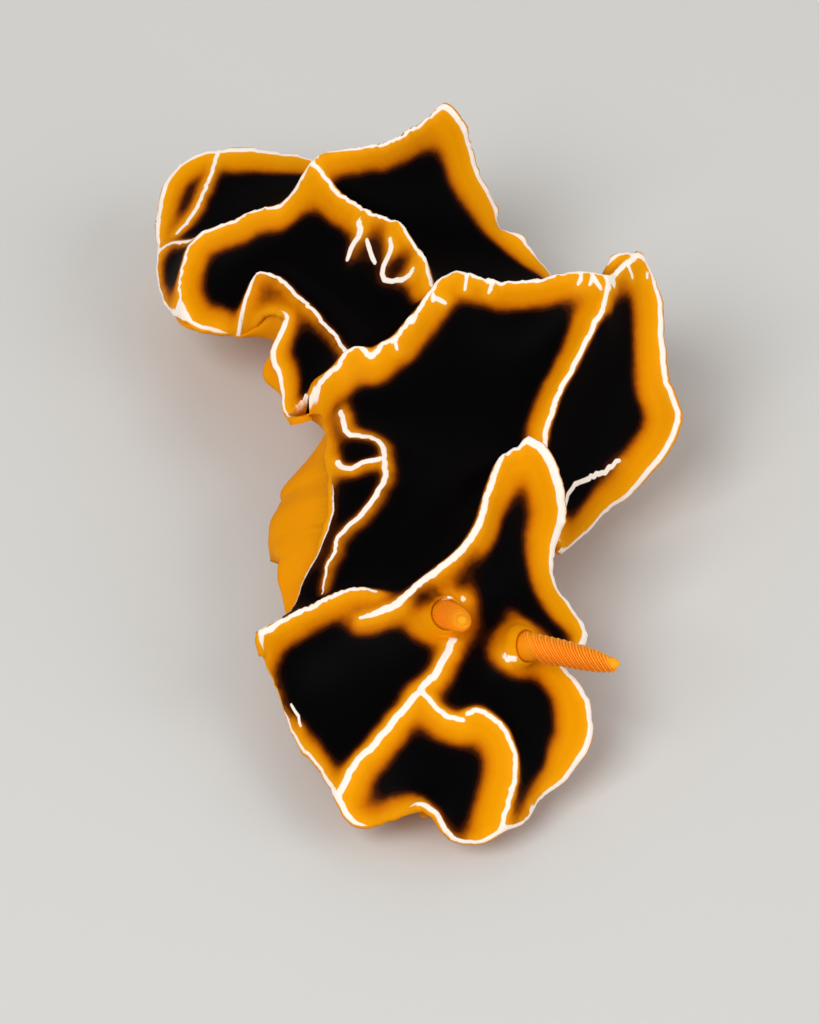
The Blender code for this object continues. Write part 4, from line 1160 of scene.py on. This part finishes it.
@dataclass
class BodyAndFoot:
    """Body wall under the mantle and the foot with its flat sole. Sizes are in millimetres."""

    front: float = -20.1
    back: float = 26.1
    body_inset: float = 0.9
    stations: int = 150
    foot_height: float = 1.35
    foot_margin: float = 0.8
    wall_share: float = 0.86
    # How far the body's top reaches into the mantle, and the length of each rounded end.
    sink: float = 0.5
    blunt: float = 4.6
    # How strongly the stations crowd towards both ends.
    crowd: float = 0.13

    def fullness(self, inset: float) -> float:
        """Share of the full width at a distance from an end, for a round end."""
        short = min(max(1.0 - inset / self.blunt, 0.0), 1.0)
        return math.sqrt(max(1.0 - short * short, 0.0))

    def half_ring(self, foot: float, wall: float, top: float) -> list[tuple[float, float]]:
        """Side distance and height from the middle of the sole up to the middle of the top.

        Args:
            foot: Half width of the foot.
            wall: Half width of the body wall.
            top: Height of the body's top.

        Returns:
            Side distance and height of each point.
        """
        lip = min(foot, max(wall + 0.1, 0.84 * foot))
        rise = top - self.foot_height
        return [(0.0, 0.0), (0.5 * foot, 0.0), (0.85 * foot, 0.0), (0.95 * foot, 0.05),
                (0.99 * foot, 0.2), (foot, 0.42), (0.985 * foot, 0.66), (0.95 * foot, 0.86),
                (lip, 1.02), (wall + 0.08, 1.16), (wall, self.foot_height),
                (0.985 * wall, self.foot_height + 0.2 * rise),
                (0.99 * wall, self.foot_height + 0.45 * rise),
                (1.02 * wall, self.foot_height + 0.7 * rise), (1.06 * wall, top - 0.35 * (rise > 1)),
                (1.04 * wall, top), (0.55 * wall, top), (0.0, top)]

    def build(self) -> Object:
        """Closed skin of body and foot."""
        rings = []
        for number in range(self.stations):
            share = number / (self.stations - 1)
            share -= self.crowd * math.sin(2 * math.pi * share)
            y = self.front + (self.back - self.front) * share
            centre, side, half, groove = midline_station(y)
            inset = min(y - self.front, self.back - y)
            # Two small waves keep the edge of the foot from being even.
            wave = 1.0 + 0.02 * math.sin(2.1 * y) + 0.015 * math.sin(4.7 * y + 1.0)
            foot = max((half + self.foot_margin) * self.fullness(inset) * wave, 0.06)
            full = self.fullness(inset - self.body_inset)
            wall = max(self.wall_share * half * full, 0.03)
            top = self.foot_height + (groove + self.sink - self.foot_height) * full
            right = self.half_ring(foot, wall, top)
            ring = right + [(-reach, height) for reach, height in reversed(right[1:-1])]
            rings.append([np.array((*(centre + side * reach), height))
                          for reach, height in ring])
        return loft("body_and_foot", rings)


@dataclass
class Head:
    """Blunt snout with its two short feelers. Sizes are in millimetres.

    Each row of the snout gives the distance from its front, half width, bottom and top,
    and each row of a feeler the distance forward from the snout and the radius.
    """

    centre_x: float = 2.1
    front: float = -22.9
    rows: tuple[tuple[float, float, float, float], ...] = (
        (0.0, 0.7, 1.25, 1.95), (0.08, 1.25, 1.0, 2.2), (0.3, 1.8, 0.72, 2.5),
        (0.7, 2.2, 0.55, 2.75), (1.3, 2.42, 0.48, 2.92), (2.4, 2.5, 0.45, 3.0),
        (3.4, 2.55, 0.42, 3.1), (4.6, 2.6, 0.4, 3.2))
    feeler_rows: tuple[tuple[float, float], ...] = (
        (-0.7, 0.5), (0.0, 0.53), (0.4, 0.51), (0.8, 0.45), (1.1, 0.36), (1.3, 0.25),
        (1.4, 0.12))

    def build(self) -> Object:
        """Rounded snout that runs back into the body."""
        size = 40
        rings = []
        for share, width, low, high in self.rows:
            ring = []
            for k in range(size):
                turn = 2 * math.pi * k / size
                # A shallow cleft for the mouth, low on the front.
                cleft = 0.12 * math.exp(-((turn - 1.5 * math.pi) / 0.35) ** 2)
                ring.append(np.array((self.centre_x + width * math.cos(turn),
                                      self.front + share + (cleft if share < 1 else 0.0),
                                      (low + high) / 2 + (high - low) / 2 * math.sin(turn))))
            rings.append(ring)
        thing = loft("head", rings)
        smooth = thing.modifiers.new("round", "SUBSURF")
        smooth.levels = smooth.render_levels = 1
        return thing

    def feeler(self, name: str, x: float, splay: float) -> Object:
        """Short blunt feeler beside the mouth, turned a little outwards."""
        rings = []
        for forward, radius in self.feeler_rows:
            centre = (x + splay * max(forward, 0.0), self.front - 0.3 - forward,
                      1.5 - 0.15 * forward)
            rings.append(circle(np.array(centre), AXES[0], AXES[2], radius, 24))
        return loft(name, rings)


@dataclass
class Rhinophore:
    """Stalk and ringed club that stand in a sheath of the mantle. Sizes are in millimetres."""

    side: str
    length: float = 6.85
    # How deep its root stands in the mantle, and the length over which the stalk bends.
    root: float = 0.85
    bend: float = 2.2
    sides: int = 40
    stalk_radius: float = 0.92
    club_radius: float = 0.85
    club_start: float = 1.35
    club_end: float = 6.3
    # Narrowing of the club: the even share, and the share that comes late, by a power.
    taper: tuple[float, float] = (0.16, 0.42)
    late_power: float = 5.0
    # Length of the rounded tip, the start of its paler colour before the end of the club,
    # and the length over which the colour turns.
    tip_round: float = 0.6
    pale_start: float = 0.3
    pale_blend: float = 0.5
    lamellae: int = 27
    leaf_thickness: float = 0.075
    # Every second leaf is larger by this share of the radius.
    odd_share: float = 0.05
    # Depth of the core under the leaves' edges, and the length over which it sets in.
    groove: float = 0.14
    groove_run: float = 0.4
    slant: float = 0.9

    def path(self) -> tuple[np.ndarray, np.ndarray]:
        """Places along the axis and their distances from its root in the mantle."""
        foot, axis, club = RHINOPHORE_PLACES[self.side]
        axis, club = unit(axis), unit(club)
        spot = np.array(foot) - self.root * axis
        distances = np.linspace(0.0, self.length, 60)
        places = [spot.copy()]
        for before, after in zip(distances, distances[1:]):
            share = min(1.0, after / self.bend)
            spot = spot + (after - before) * unit((1 - share) * axis + share * club)
            places.append(spot.copy())
        return np.array(places), distances

    def width_at(self, distance: float) -> float:
        """Radius of the outline at a distance from the root."""
        share = (distance - self.club_start) / (self.club_end - self.club_start)
        if share < 0.0:
            return self.club_radius + (self.stalk_radius - self.club_radius) * min(1.0, -share * 6)
        even, late = self.taper
        return self.club_radius * (1.0 - even * share - late * share ** self.late_power)

    def core(self) -> Object:
        """Smooth stalk, core of the club and bare tip."""
        places, distances = self.path()
        end = distances[-1]
        rings = []
        for k, (place, distance) in enumerate(zip(places, distances)):
            way = unit(places[min(k + 1, len(places) - 1)] - places[max(k - 1, 0)])
            side, fore = across(way)
            into = np.clip(min(distance - self.club_start, self.club_end - distance)
                           / self.groove_run, 0.0, 1.0)
            tip = math.sqrt(max(1.0 - max(0.0, 1.0 - (end - distance) / self.tip_round) ** 2,
                                0.0))
            radius = max((self.width_at(min(distance, self.club_end)) - self.groove * into) * tip,
                         0.02)
            rings.append(circle(place, side, fore, radius, self.sides))
        thing = loft("rhinophore_core_" + self.side, rings)
        pale = np.clip((distances - self.club_end + self.pale_start) / self.pale_blend, 0.0, 1.0)
        # The last two points close the two ends.
        set_point_values(thing.data, "along", np.append(np.repeat(pale, self.sides), (0.0, 1.0)))
        return thing

    def lamella_tree(self) -> NodeTree:
        """Thin lens-shaped leaves stacked at a slant along the club."""
        inputs = {"Start": "Vector", "Bend": "Vector", "End": "Vector", "Count": "Int",
                  "Radius": "Float", "Even Taper": "Float", "Late Taper": "Float",
                  "Stretch": "Float", "Thickness": "Float", "Slant": "Vector", "Skin": "Material"}
        return geometry_tree("lamellae_" + self.side, inputs, (
            ("path", "GeometryNodeCurveQuadraticBezier", {"Resolution": 32},
             {"Start": "given.Start", "Middle": "given.Bend", "End": "given.End"}),
            ("spots", "GeometryNodeCurveToPoints", {"mode": "COUNT"},
             {"Curve": "path", "Count": "given.Count"}),
            ("index", "GeometryNodeInputIndex", {}, {}),
            ("share", MATH, {"operation": "DIVIDE"}, {0: "index", 1: "given.Count"}),
            ("even", MATH, MULTIPLY, {0: "share", 1: "given.Even Taper"}),
            ("curve", MATH, {"operation": "POWER", 1: self.late_power}, {0: "share"}),
            ("loss", MATH, MULTIPLY_ADD, {0: "curve", 1: "given.Late Taper", 2: "even"}),
            ("keep", MATH, {"operation": "SUBTRACT", 0: 1.0}, {1: "loss"}),
            # Every second leaf stands out a little further than its neighbours.
            ("odd", MATH, {"operation": "MODULO", 1: 2.0}, {0: "index"}),
            ("uneven", MATH, MULTIPLY_ADD | {1: self.odd_share}, {0: "odd", 2: "keep"}),
            ("size", MATH, MULTIPLY, {0: "uneven", 1: "given.Radius"}),
            # A slanted leaf is longer than it is wide, so that it still fills a round club.
            ("tall", MATH, MULTIPLY, {0: "size", 1: "given.Stretch"}),
            ("scale", "ShaderNodeCombineXYZ", {}, {0: "size", 1: "tall", 2: "given.Thickness"}),
            ("facing", "ShaderNodeVectorMath", ADD, {0: "spots.Tangent", 1: "given.Slant"}),
            ("turned", "FunctionNodeAxesToRotation", {"primary_axis": "Z", "secondary_axis": "Y"},
             {"Primary Axis": "facing", "Secondary Axis": "given.Slant"}),
            ("lens", "GeometryNodeMeshUVSphere", {"Segments": 36, "Rings": 10, "Radius": 1.0}, {}),
            ("leaves", "GeometryNodeInstanceOnPoints", {},
             {"Points": "spots", "Instance": "lens", "Rotation": "turned", "Scale": "scale"}),
            ("marked", "GeometryNodeStoreNamedAttribute",
             {"data_type": "FLOAT", "domain": "INSTANCE", "Name": "along"},
             {"Geometry": "leaves", "Value": "curve"}),
        ))

    def leaves(self, skin: Material) -> Object:
        """Plain mesh of all the lamellae."""
        places, distances = self.path()
        stops = (self.club_start, (self.club_start + self.club_end) / 2, self.club_end)
        first, middle, last = (plan_to_metres([np.interp(stop, distances, places[:, axis])
                                               for axis in range(3)]) for stop in stops)
        club = unit(RHINOPHORE_PLACES[self.side][2])
        # The back edge of each leaf lies nearer the base of the club than its front edge.
        up = np.array(LEAF_UP[self.side])
        up = unit(up - (up @ club) * club)
        values = {"Start": tuple(first), "Bend": tuple(2 * middle - (first + last) / 2),
                  "End": tuple(last), "Count": self.lamellae,
                  "Radius": self.club_radius * MM, "Even Taper": self.taper[0],
                  "Late Taper": self.taper[1], "Stretch": math.hypot(1.0, self.slant),
                  "Thickness": self.leaf_thickness * MM, "Slant": tuple(self.slant * up),
                  "Skin": skin}
        host = link_object("lamella_host", bpy.data.meshes.new("lamella_host"))
        return plain_result("rhinophore_lamellae_" + self.side, host, self.lamella_tree(), values)


def plain_result(name: str, host: Object, tree: NodeTree, values: dict) -> Object:
    """Run a node tree once on a host and keep its result as a plain mesh.

    Args:
        name: Name of the finished piece.
        host: Object whose mesh the tree starts from; it is removed.
        tree: Geometry node tree with one geometry output.
        values: Values of the tree's named inputs.

    Returns:
        The piece, with no modifier left on it.
    """
    maker = host.modifiers.new("maker", "NODES")
    maker.node_group = tree
    for item in tree.interface.items_tree:
        if item.item_type == "SOCKET" and item.in_out == "INPUT" and item.name in values:
            maker[item.identifier] = values[item.name]
    bpy.context.view_layer.update()
    graph = bpy.context.evaluated_depsgraph_get()
    mesh = bpy.data.meshes.new_from_object(host.evaluated_get(graph))
    mesh.name = name
    bpy.data.objects.remove(host, do_unlink=True)
    mesh.shade_smooth()
    log.info("%s: %d faces", name, len(mesh.polygons))
    return link_object(name, mesh)


@dataclass
class GillRow:
    """Row of thin leaflets in the groove on one side of the body. Sizes in millimetres."""

    # Minus one for the right side and one for the left.
    hand: float
    count: int = 104
    seed: int = 5
    # Range of the leaflets' sizes, as shares, and their greatest tilt in degrees.
    sizes: tuple[float, float] = (0.6, 1.05)
    tilt: float = 14.0
    reach: float = 1.05
    drop: float = 0.8
    thickness: float = 0.075
    front: float = -15.5
    back: float = 21.5
    height: float = 3.3
    # The row lies on the body wall, at this share of the half width and this much out.
    wall_share: float = 0.86
    out: float = 0.05

    def tree(self) -> NodeTree:
        """Thin flaps set across a line and turned out from the body."""
        inputs = {"Line": "Geometry", "Count": "Int", "Reach": "Float", "Drop": "Float",
                  "Thickness": "Float", "Tilt": "Float", "Seed": "Int", "Skin": "Material"}
        return geometry_tree("gill_leaflets", inputs, (
            ("curve", "GeometryNodeMeshToCurve", {}, {0: "given.Line"}),
            ("level", "GeometryNodeSetCurveNormal", {"mode": "Z_UP"}, {0: "curve"}),
            ("spots", "GeometryNodeCurveToPoints", {"mode": "COUNT"},
             {"Curve": "level", "Count": "given.Count"}),
            ("sizes", "FunctionNodeRandomValue",
             {"data_type": "FLOAT", "Min": self.sizes[0], "Max": self.sizes[1]},
             {"Seed": "given.Seed"}),
            ("reach", MATH, MULTIPLY, {0: "sizes", 1: "given.Reach"}),
            ("drop", MATH, MULTIPLY, {0: "sizes", 1: "given.Drop"}),
            ("scale", "ShaderNodeCombineXYZ", {}, {0: "reach", 1: "drop", 2: "given.Thickness"}),
            ("chance", "FunctionNodeRandomValue", {"data_type": "FLOAT", "Min": -1.0, "Max": 1.0},
             {"Seed": "given.Count"}),
            ("lean", MATH, MULTIPLY, {0: "chance", 1: "given.Tilt"}),
            ("turn", "ShaderNodeCombineXYZ", {}, {1: "lean"}),
            ("turned", "FunctionNodeRotateRotation", {"rotation_space": "LOCAL"},
             {0: "spots.Rotation", 1: "turn"}),
            ("leaf", "GeometryNodeMeshUVSphere", {"Segments": 12, "Rings": 6, "Radius": 1.0}, {}),
            ("leaves", "GeometryNodeInstanceOnPoints", {},
             {"Points": "spots", "Instance": "leaf", "Rotation": "turned", "Scale": "scale"}),
        ))

    def build(self, skin: Material) -> Object:
        """Plain mesh of the leaflets of one side."""
        points = []
        for y in np.linspace(self.front, self.back, 80):
            centre, side, half, _ = midline_station(y)
            reach = self.hand * (self.wall_share * half + self.out)
            points.append((*(centre + side * reach), self.height))
        name = "gills_right" if self.hand < 0 else "gills_left"
        mesh = bpy.data.meshes.new(name + "_line")
        mesh.from_pydata(plan_to_metres(points).tolist(),
                         [(k, k + 1) for k in range(len(points) - 1)], [])
        values = {"Count": self.count, "Reach": self.reach * MM, "Drop": self.drop * MM,
                  "Thickness": self.thickness * MM, "Tilt": math.radians(self.tilt),
                  "Seed": self.seed, "Skin": skin}
        return plain_result(name, link_object(name + "_host", mesh), self.tree(), values)


@dataclass(frozen=True)
class NotumSkin:
    """Living skin of the back: velvety black fields, mango flanks and chalk-white crests.

    The black is so deep and matt that it shows almost no gloss, and the orange glows into
    it over about half a millimetre, as pigment under thin moist skin does.
    """

    # Colours of the flank by distance past its border in millimetres.
    fields: tuple[tuple[float, str], ...] = (
        (-1.0, "#E89400"), (-0.55, "#DC8500"), (-0.3, "#C66C00"), (-0.1, "#8A4200"),
        (0.06, "#401802"), (0.26, "#0C0302"), (0.55, "#030203"))
    light: str = "#F8A812"
    white: str = "#FFF2E4"
    under: str = "#EC9608"
    under_shade: str = "#E28A02"
    # Reach of the paler orange beside a white line, how much of it there is at most, how far
    # inside the flank it is full, and softness of the line; lengths in millimetres.
    light_reach: float = 0.6
    light_share: float = 0.55
    light_depth: float = 0.5
    soft: float = 0.03
    # Waves of the borders, teeth of the white lines and grain of the skin, in millimetres.
    wave_mm: float = 1.6
    tooth_mm: float = 0.4
    grain_mm: float = 0.19
    # How far the waves and the teeth move a border from side to side, in millimetres, and how
    # many times its own raggedness the teeth move a white line.
    wave_move: float = 0.3
    tooth_move: float = 0.06
    line_move: float = 6.0
    # The white lines stand up from the skin by this many times the height of the grain.
    relief: float = 0.7

    def material(self) -> Material:
        """Procedural skin that reads the painted distances of the mantle."""
        low, high = self.fields[0][0], self.fields[-1][0]
        stops = [((distance - low) / (high - low), code) for distance, code in self.fields]
        noises = (("wave", self.wave_mm, 2.0), ("tooth", self.tooth_mm, 2.0),
                  ("grain", self.grain_mm, 3.0))
        rows = (
            *((name, "ShaderNodeAttribute", {"attribute_name": name}, {})
              for name in ("band", "line", "ragged", "region")),
            ("place", "ShaderNodeTexCoord", {}, {}),
            *((name, NOISE, {"Scale": 1 / (size * MM), "Detail": detail},
               {"Vector": "place.Object"}) for name, size, detail in noises),
            # Orange turns black by the distance past the border, with an uneven edge.
            ("wavy", MATH, MULTIPLY_ADD | {1: self.wave_move, 2: -self.wave_move / 2},
             {0: "wave"}),
            ("fine", MATH, MULTIPLY_ADD | {1: self.tooth_move, 2: -self.tooth_move / 2},
             {0: "tooth"}),
            ("both", MATH, ADD, {0: "wavy", 1: "fine"}),
            ("uneven", MATH, ADD, {0: "band.Fac", 1: "both"}),
            ("share", RANGE, {"From Min": low, "From Max": high}, {"Value": "uneven"}),
            ("flank", RAMP, {"stops": stops}, {0: "share"}),
            # Small teeth run along both sides of a white line.
            ("teeth", MATH, MULTIPLY_ADD | {1: self.line_move, 2: -self.line_move / 2},
             {0: "tooth"}),
            ("edge", MATH, MULTIPLY_ADD, {0: "teeth", 1: "ragged.Fac", 2: "line.Fac"}),
            # Where the flank has already turned dark, the line brings no light to it.
            ("near", RANGE, {"From Min": self.light_reach, "From Max": 0.0,
                             "To Max": self.light_share}, {"Value": "edge"}),
            ("inside", RANGE, {"From Max": -self.light_depth}, {"Value": "band.Fac"}),
            ("glow", MATH, MULTIPLY, {0: "near", 1: "inside"}),
            ("top", MIX, COLOURS | {7: linear_colour(self.light)}, {0: "glow", 6: "flank"}),
            ("shade", MIX, COLOURS | {6: linear_colour(self.under),
                                      7: linear_colour(self.under_shade)}, {0: "wave"}),
            ("base", MIX, COLOURS, {0: "region.Fac", 6: "top", 7: "shade"}),
            ("white", RANGE, {"From Min": self.soft, "From Max": -self.soft}, {"Value": "edge"}),
            ("colour", MIX, COLOURS | {7: linear_colour(self.white)}, {0: "white", 6: "base"}),
            ("height", MATH, MULTIPLY_ADD | {1: self.relief}, {0: "white", 2: "grain"}),
            ("bump", "ShaderNodeBump", {"Strength": 0.2, "Distance": GRAIN_HEIGHT},
             {"Height": "height"}),
        )
        return new_material("notum_skin", {"Base Color": "colour", "Normal": "bump", "IOR": WET_IOR,
                                           "Roughness": 0.5, "Specular IOR Level": 0.03}, rows)


@dataclass(frozen=True)
class PlainSkin:
    """Smooth moist skin of one hue with soft cloudy variation.

    The clouds and the faint grain keep it from looking like plastic. Along a piece that
    carries a point value named "along", the colour turns from the base to the tip colour.
    """

    name: str
    colour: str
    shade: str
    tip: str = ""
    roughness: float = 0.5
    gloss: float = 0.12
    # Share of the light that passes through the thin skin before it comes back.
    glow: float = 0.12
    cloud_mm: float = 2.5
    grain_mm: float = 0.19

    def material(self) -> Material:
        """Procedural moist skin."""
        rows = [
            ("place", "ShaderNodeTexCoord", {}, {}),
            *((name, NOISE, {"Scale": 1 / (size * MM), "Detail": 3.0}, {"Vector": "place.Object"})
              for name, size in (("cloud", self.cloud_mm), ("grain", self.grain_mm))),
            ("bump", "ShaderNodeBump", {"Strength": 0.15, "Distance": GRAIN_HEIGHT},
             {"Height": "grain"}),
            ("hue", RAMP, {"stops": ((0.3, self.shade), (0.7, self.colour))}, {0: "cloud"}),
        ]
        if self.tip:
            rows += [("along", "ShaderNodeAttribute", {"attribute_name": "along"}, {}),
                     ("turning", MIX, COLOURS | {7: linear_colour(self.tip)},
                      {0: "along.Fac", 6: "hue"})]
        return new_material(self.name, {
            "Base Color": rows[-1][0], "Normal": "bump", "IOR": WET_IOR,
            "Roughness": self.roughness, "Specular IOR Level": self.gloss,
            "Subsurface Weight": self.glow, "Subsurface Radius": (1.0, 0.4, 0.15),
            "Subsurface Scale": 0.5 * MM}, rows)


@dataclass(frozen=True)
class Lamp:
    """Soft square lamp that faces the animal: place and size in metres, power in watts."""

    name: str
    place: tuple[float, float, float]
    size: float
    power: float


@dataclass
class Studio:
    """Pale floor, soft lights and the camera. Lengths are in metres."""

    target: tuple[float, float, float] = (-0.0003, -0.00402, 0.006)
    elevation: float = 46.0
    distance: float = 0.3
    lens: float = 168.75
    lamps: tuple[Lamp, ...] = (
        Lamp("key", (-0.25, -0.3, 0.45), 0.35, 2.25),
        Lamp("fill", (0.4, -0.2, 0.3), 0.4, 1.05),
        Lamp("back", (0.05, 0.45, 0.4), 0.4, 0.5),
    )
    # Distance behind the origin and height of each line of the floor.
    floor_rows: tuple[tuple[float, float], ...] = (
        (-1.2, 0.0), (0.9, 0.0), (1.1, 0.03), (1.25, 0.15), (1.3, 0.35), (1.3, 1.4))

    def floor(self) -> None:
        """Plain pale floor that curves up far behind."""
        mesh = bpy.data.meshes.new("floor")
        points = [(x, y, z) for y, z in self.floor_rows for x in (-1.8, 1.8)]
        faces = [(k, k + 1, k + 3, k + 2) for k in range(0, len(points) - 2, 2)]
        mesh.from_pydata(points, [], faces)
        mesh.shade_smooth()
        mesh.materials.append(new_material("pale_matt_board", {
            "Base Color": linear_colour("#D1D0CC"), "Roughness": 0.8}))
        thing = link_object("floor", mesh)

    def aim(self, name: str, data: ID, place: Vector) -> Object:
        """Lamp or camera at a place, turned to the animal."""
        thing = link_object(name, data)
        thing.location = place
        way = Vector(self.target) - place
        thing.rotation_euler = way.to_track_quat("-Z", "Y").to_euler()
        return thing

    def light(self, lamp: Lamp) -> None:
        """Hang one lamp."""
        data = bpy.data.lights.new(lamp.name, "AREA")
        data.size = lamp.size
        data.energy = lamp.power
        self.aim(lamp.name, data, Vector(lamp.place))

    def camera(self) -> None:
        """Long lens that looks down on the animal from in front of its head."""
        data = bpy.data.cameras.new("camera")
        data.lens = self.lens
        data.sensor_width = 36.0
        data.clip_start = 0.01
        data.clip_end = 20.0
        rise = math.radians(self.elevation)
        back = Vector((0.0, -math.cos(rise), math.sin(rise)))
        place = Vector(self.target) + back * self.distance
        bpy.context.scene.camera = self.aim("camera", data, place)

    def build(self) -> None:
        """Set up the whole studio."""
        self.floor()
        for lamp in self.lamps:
            self.light(lamp)
        world = bpy.data.worlds.new("soft_room")
        world.use_nodes = True
        sky = world.node_tree.nodes["Background"]
        sky.inputs["Color"].default_value = (0.97, 0.98, 1.0, 1.0)
        sky.inputs["Strength"].default_value = 0.36
        bpy.context.scene.world = world
        bpy.context.scene.view_settings.view_transform = "Standard"
        self.camera()


def place_piece(thing: Object, skin: Material | None, slot: str, *nodes: str) -> None:
    """Dress a piece, fix it to the body and hide the solids that it replaces.

    Args:
        thing: The finished piece.
        skin: Its material, or None where it already has one.
        slot: Name of a material slot of the record; not used.
        nodes: Names of the solids that it replaces.
    """
    if skin is not None:
        thing.data.materials.append(skin)
    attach(thing, "root")
    if nodes:
        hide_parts(*nodes)
    log.info("placed %s", thing.name)


def main() -> None:
    """Build every piece, hide the solids that it replaces and set the studio round it."""
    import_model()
    notum = NotumSkin().material()
    mango = PlainSkin("mango_skin", "#F39A0C", "#E88A06").material()
    sole = PlainSkin("sole_skin", "#F0A040", "#E6922C").material()
    gill = PlainSkin("gill_skin", "#EFA24A", "#DE8A2C", cloud_mm=1.0).material()
    # The left club stands in full light across the view and the right one points into it. Both clubs
    # have one skin, kept as a lit and a shaded copy: the left one's paler orange is painted light and
    # the right one's deeper red is painted shade.
    leaves = {"left": PlainSkin("lamella_skin_left_painted_light", "#FFA930", "#FFA128", tip="#FFA826",
                                glow=0.0, cloud_mm=1.5).material(),
              "right": PlainSkin("lamella_skin_right_painted_shade", "#FA880C", "#F58008", tip="#FFA214",
                                 glow=0.0, cloud_mm=1.5).material()}
    stalk = PlainSkin("rhinophore_skin", "#F09008", "#EA8804", tip="#FFA81C",
                      cloud_mm=1.5).material()

    place_piece(Mantle().build(), notum, "notum_black",
                "mantle_head", "mantle_middle", "mantle_tail")
    place_piece(BodyAndFoot().build(), sole, "foot_pale_orange", "body", "foot")
    head = Head()
    place_piece(head.build(), mango, "mango_orange", "head")
    for side, x, splay in (("right", 1.0, -0.15), ("left", 3.2, 0.15)):
        place_piece(head.feeler("feeler_" + side, x, splay), mango, "mango_orange",
                    "oral_tentacle_" + side)
    for side in RHINOPHORE_PLACES:
        horn = Rhinophore(side)
        place_piece(horn.core(), stalk, "rhinophore_orange", "rhinophore_" + side)
        place_piece(horn.leaves(leaves[side]), None, "rhinophore_orange")
    for hand in (-1.0, 1.0):
        place_piece(GillRow(hand).build(gill), None, "mango_orange")

    Studio().build()


if __name__ == "__main__":
    main()
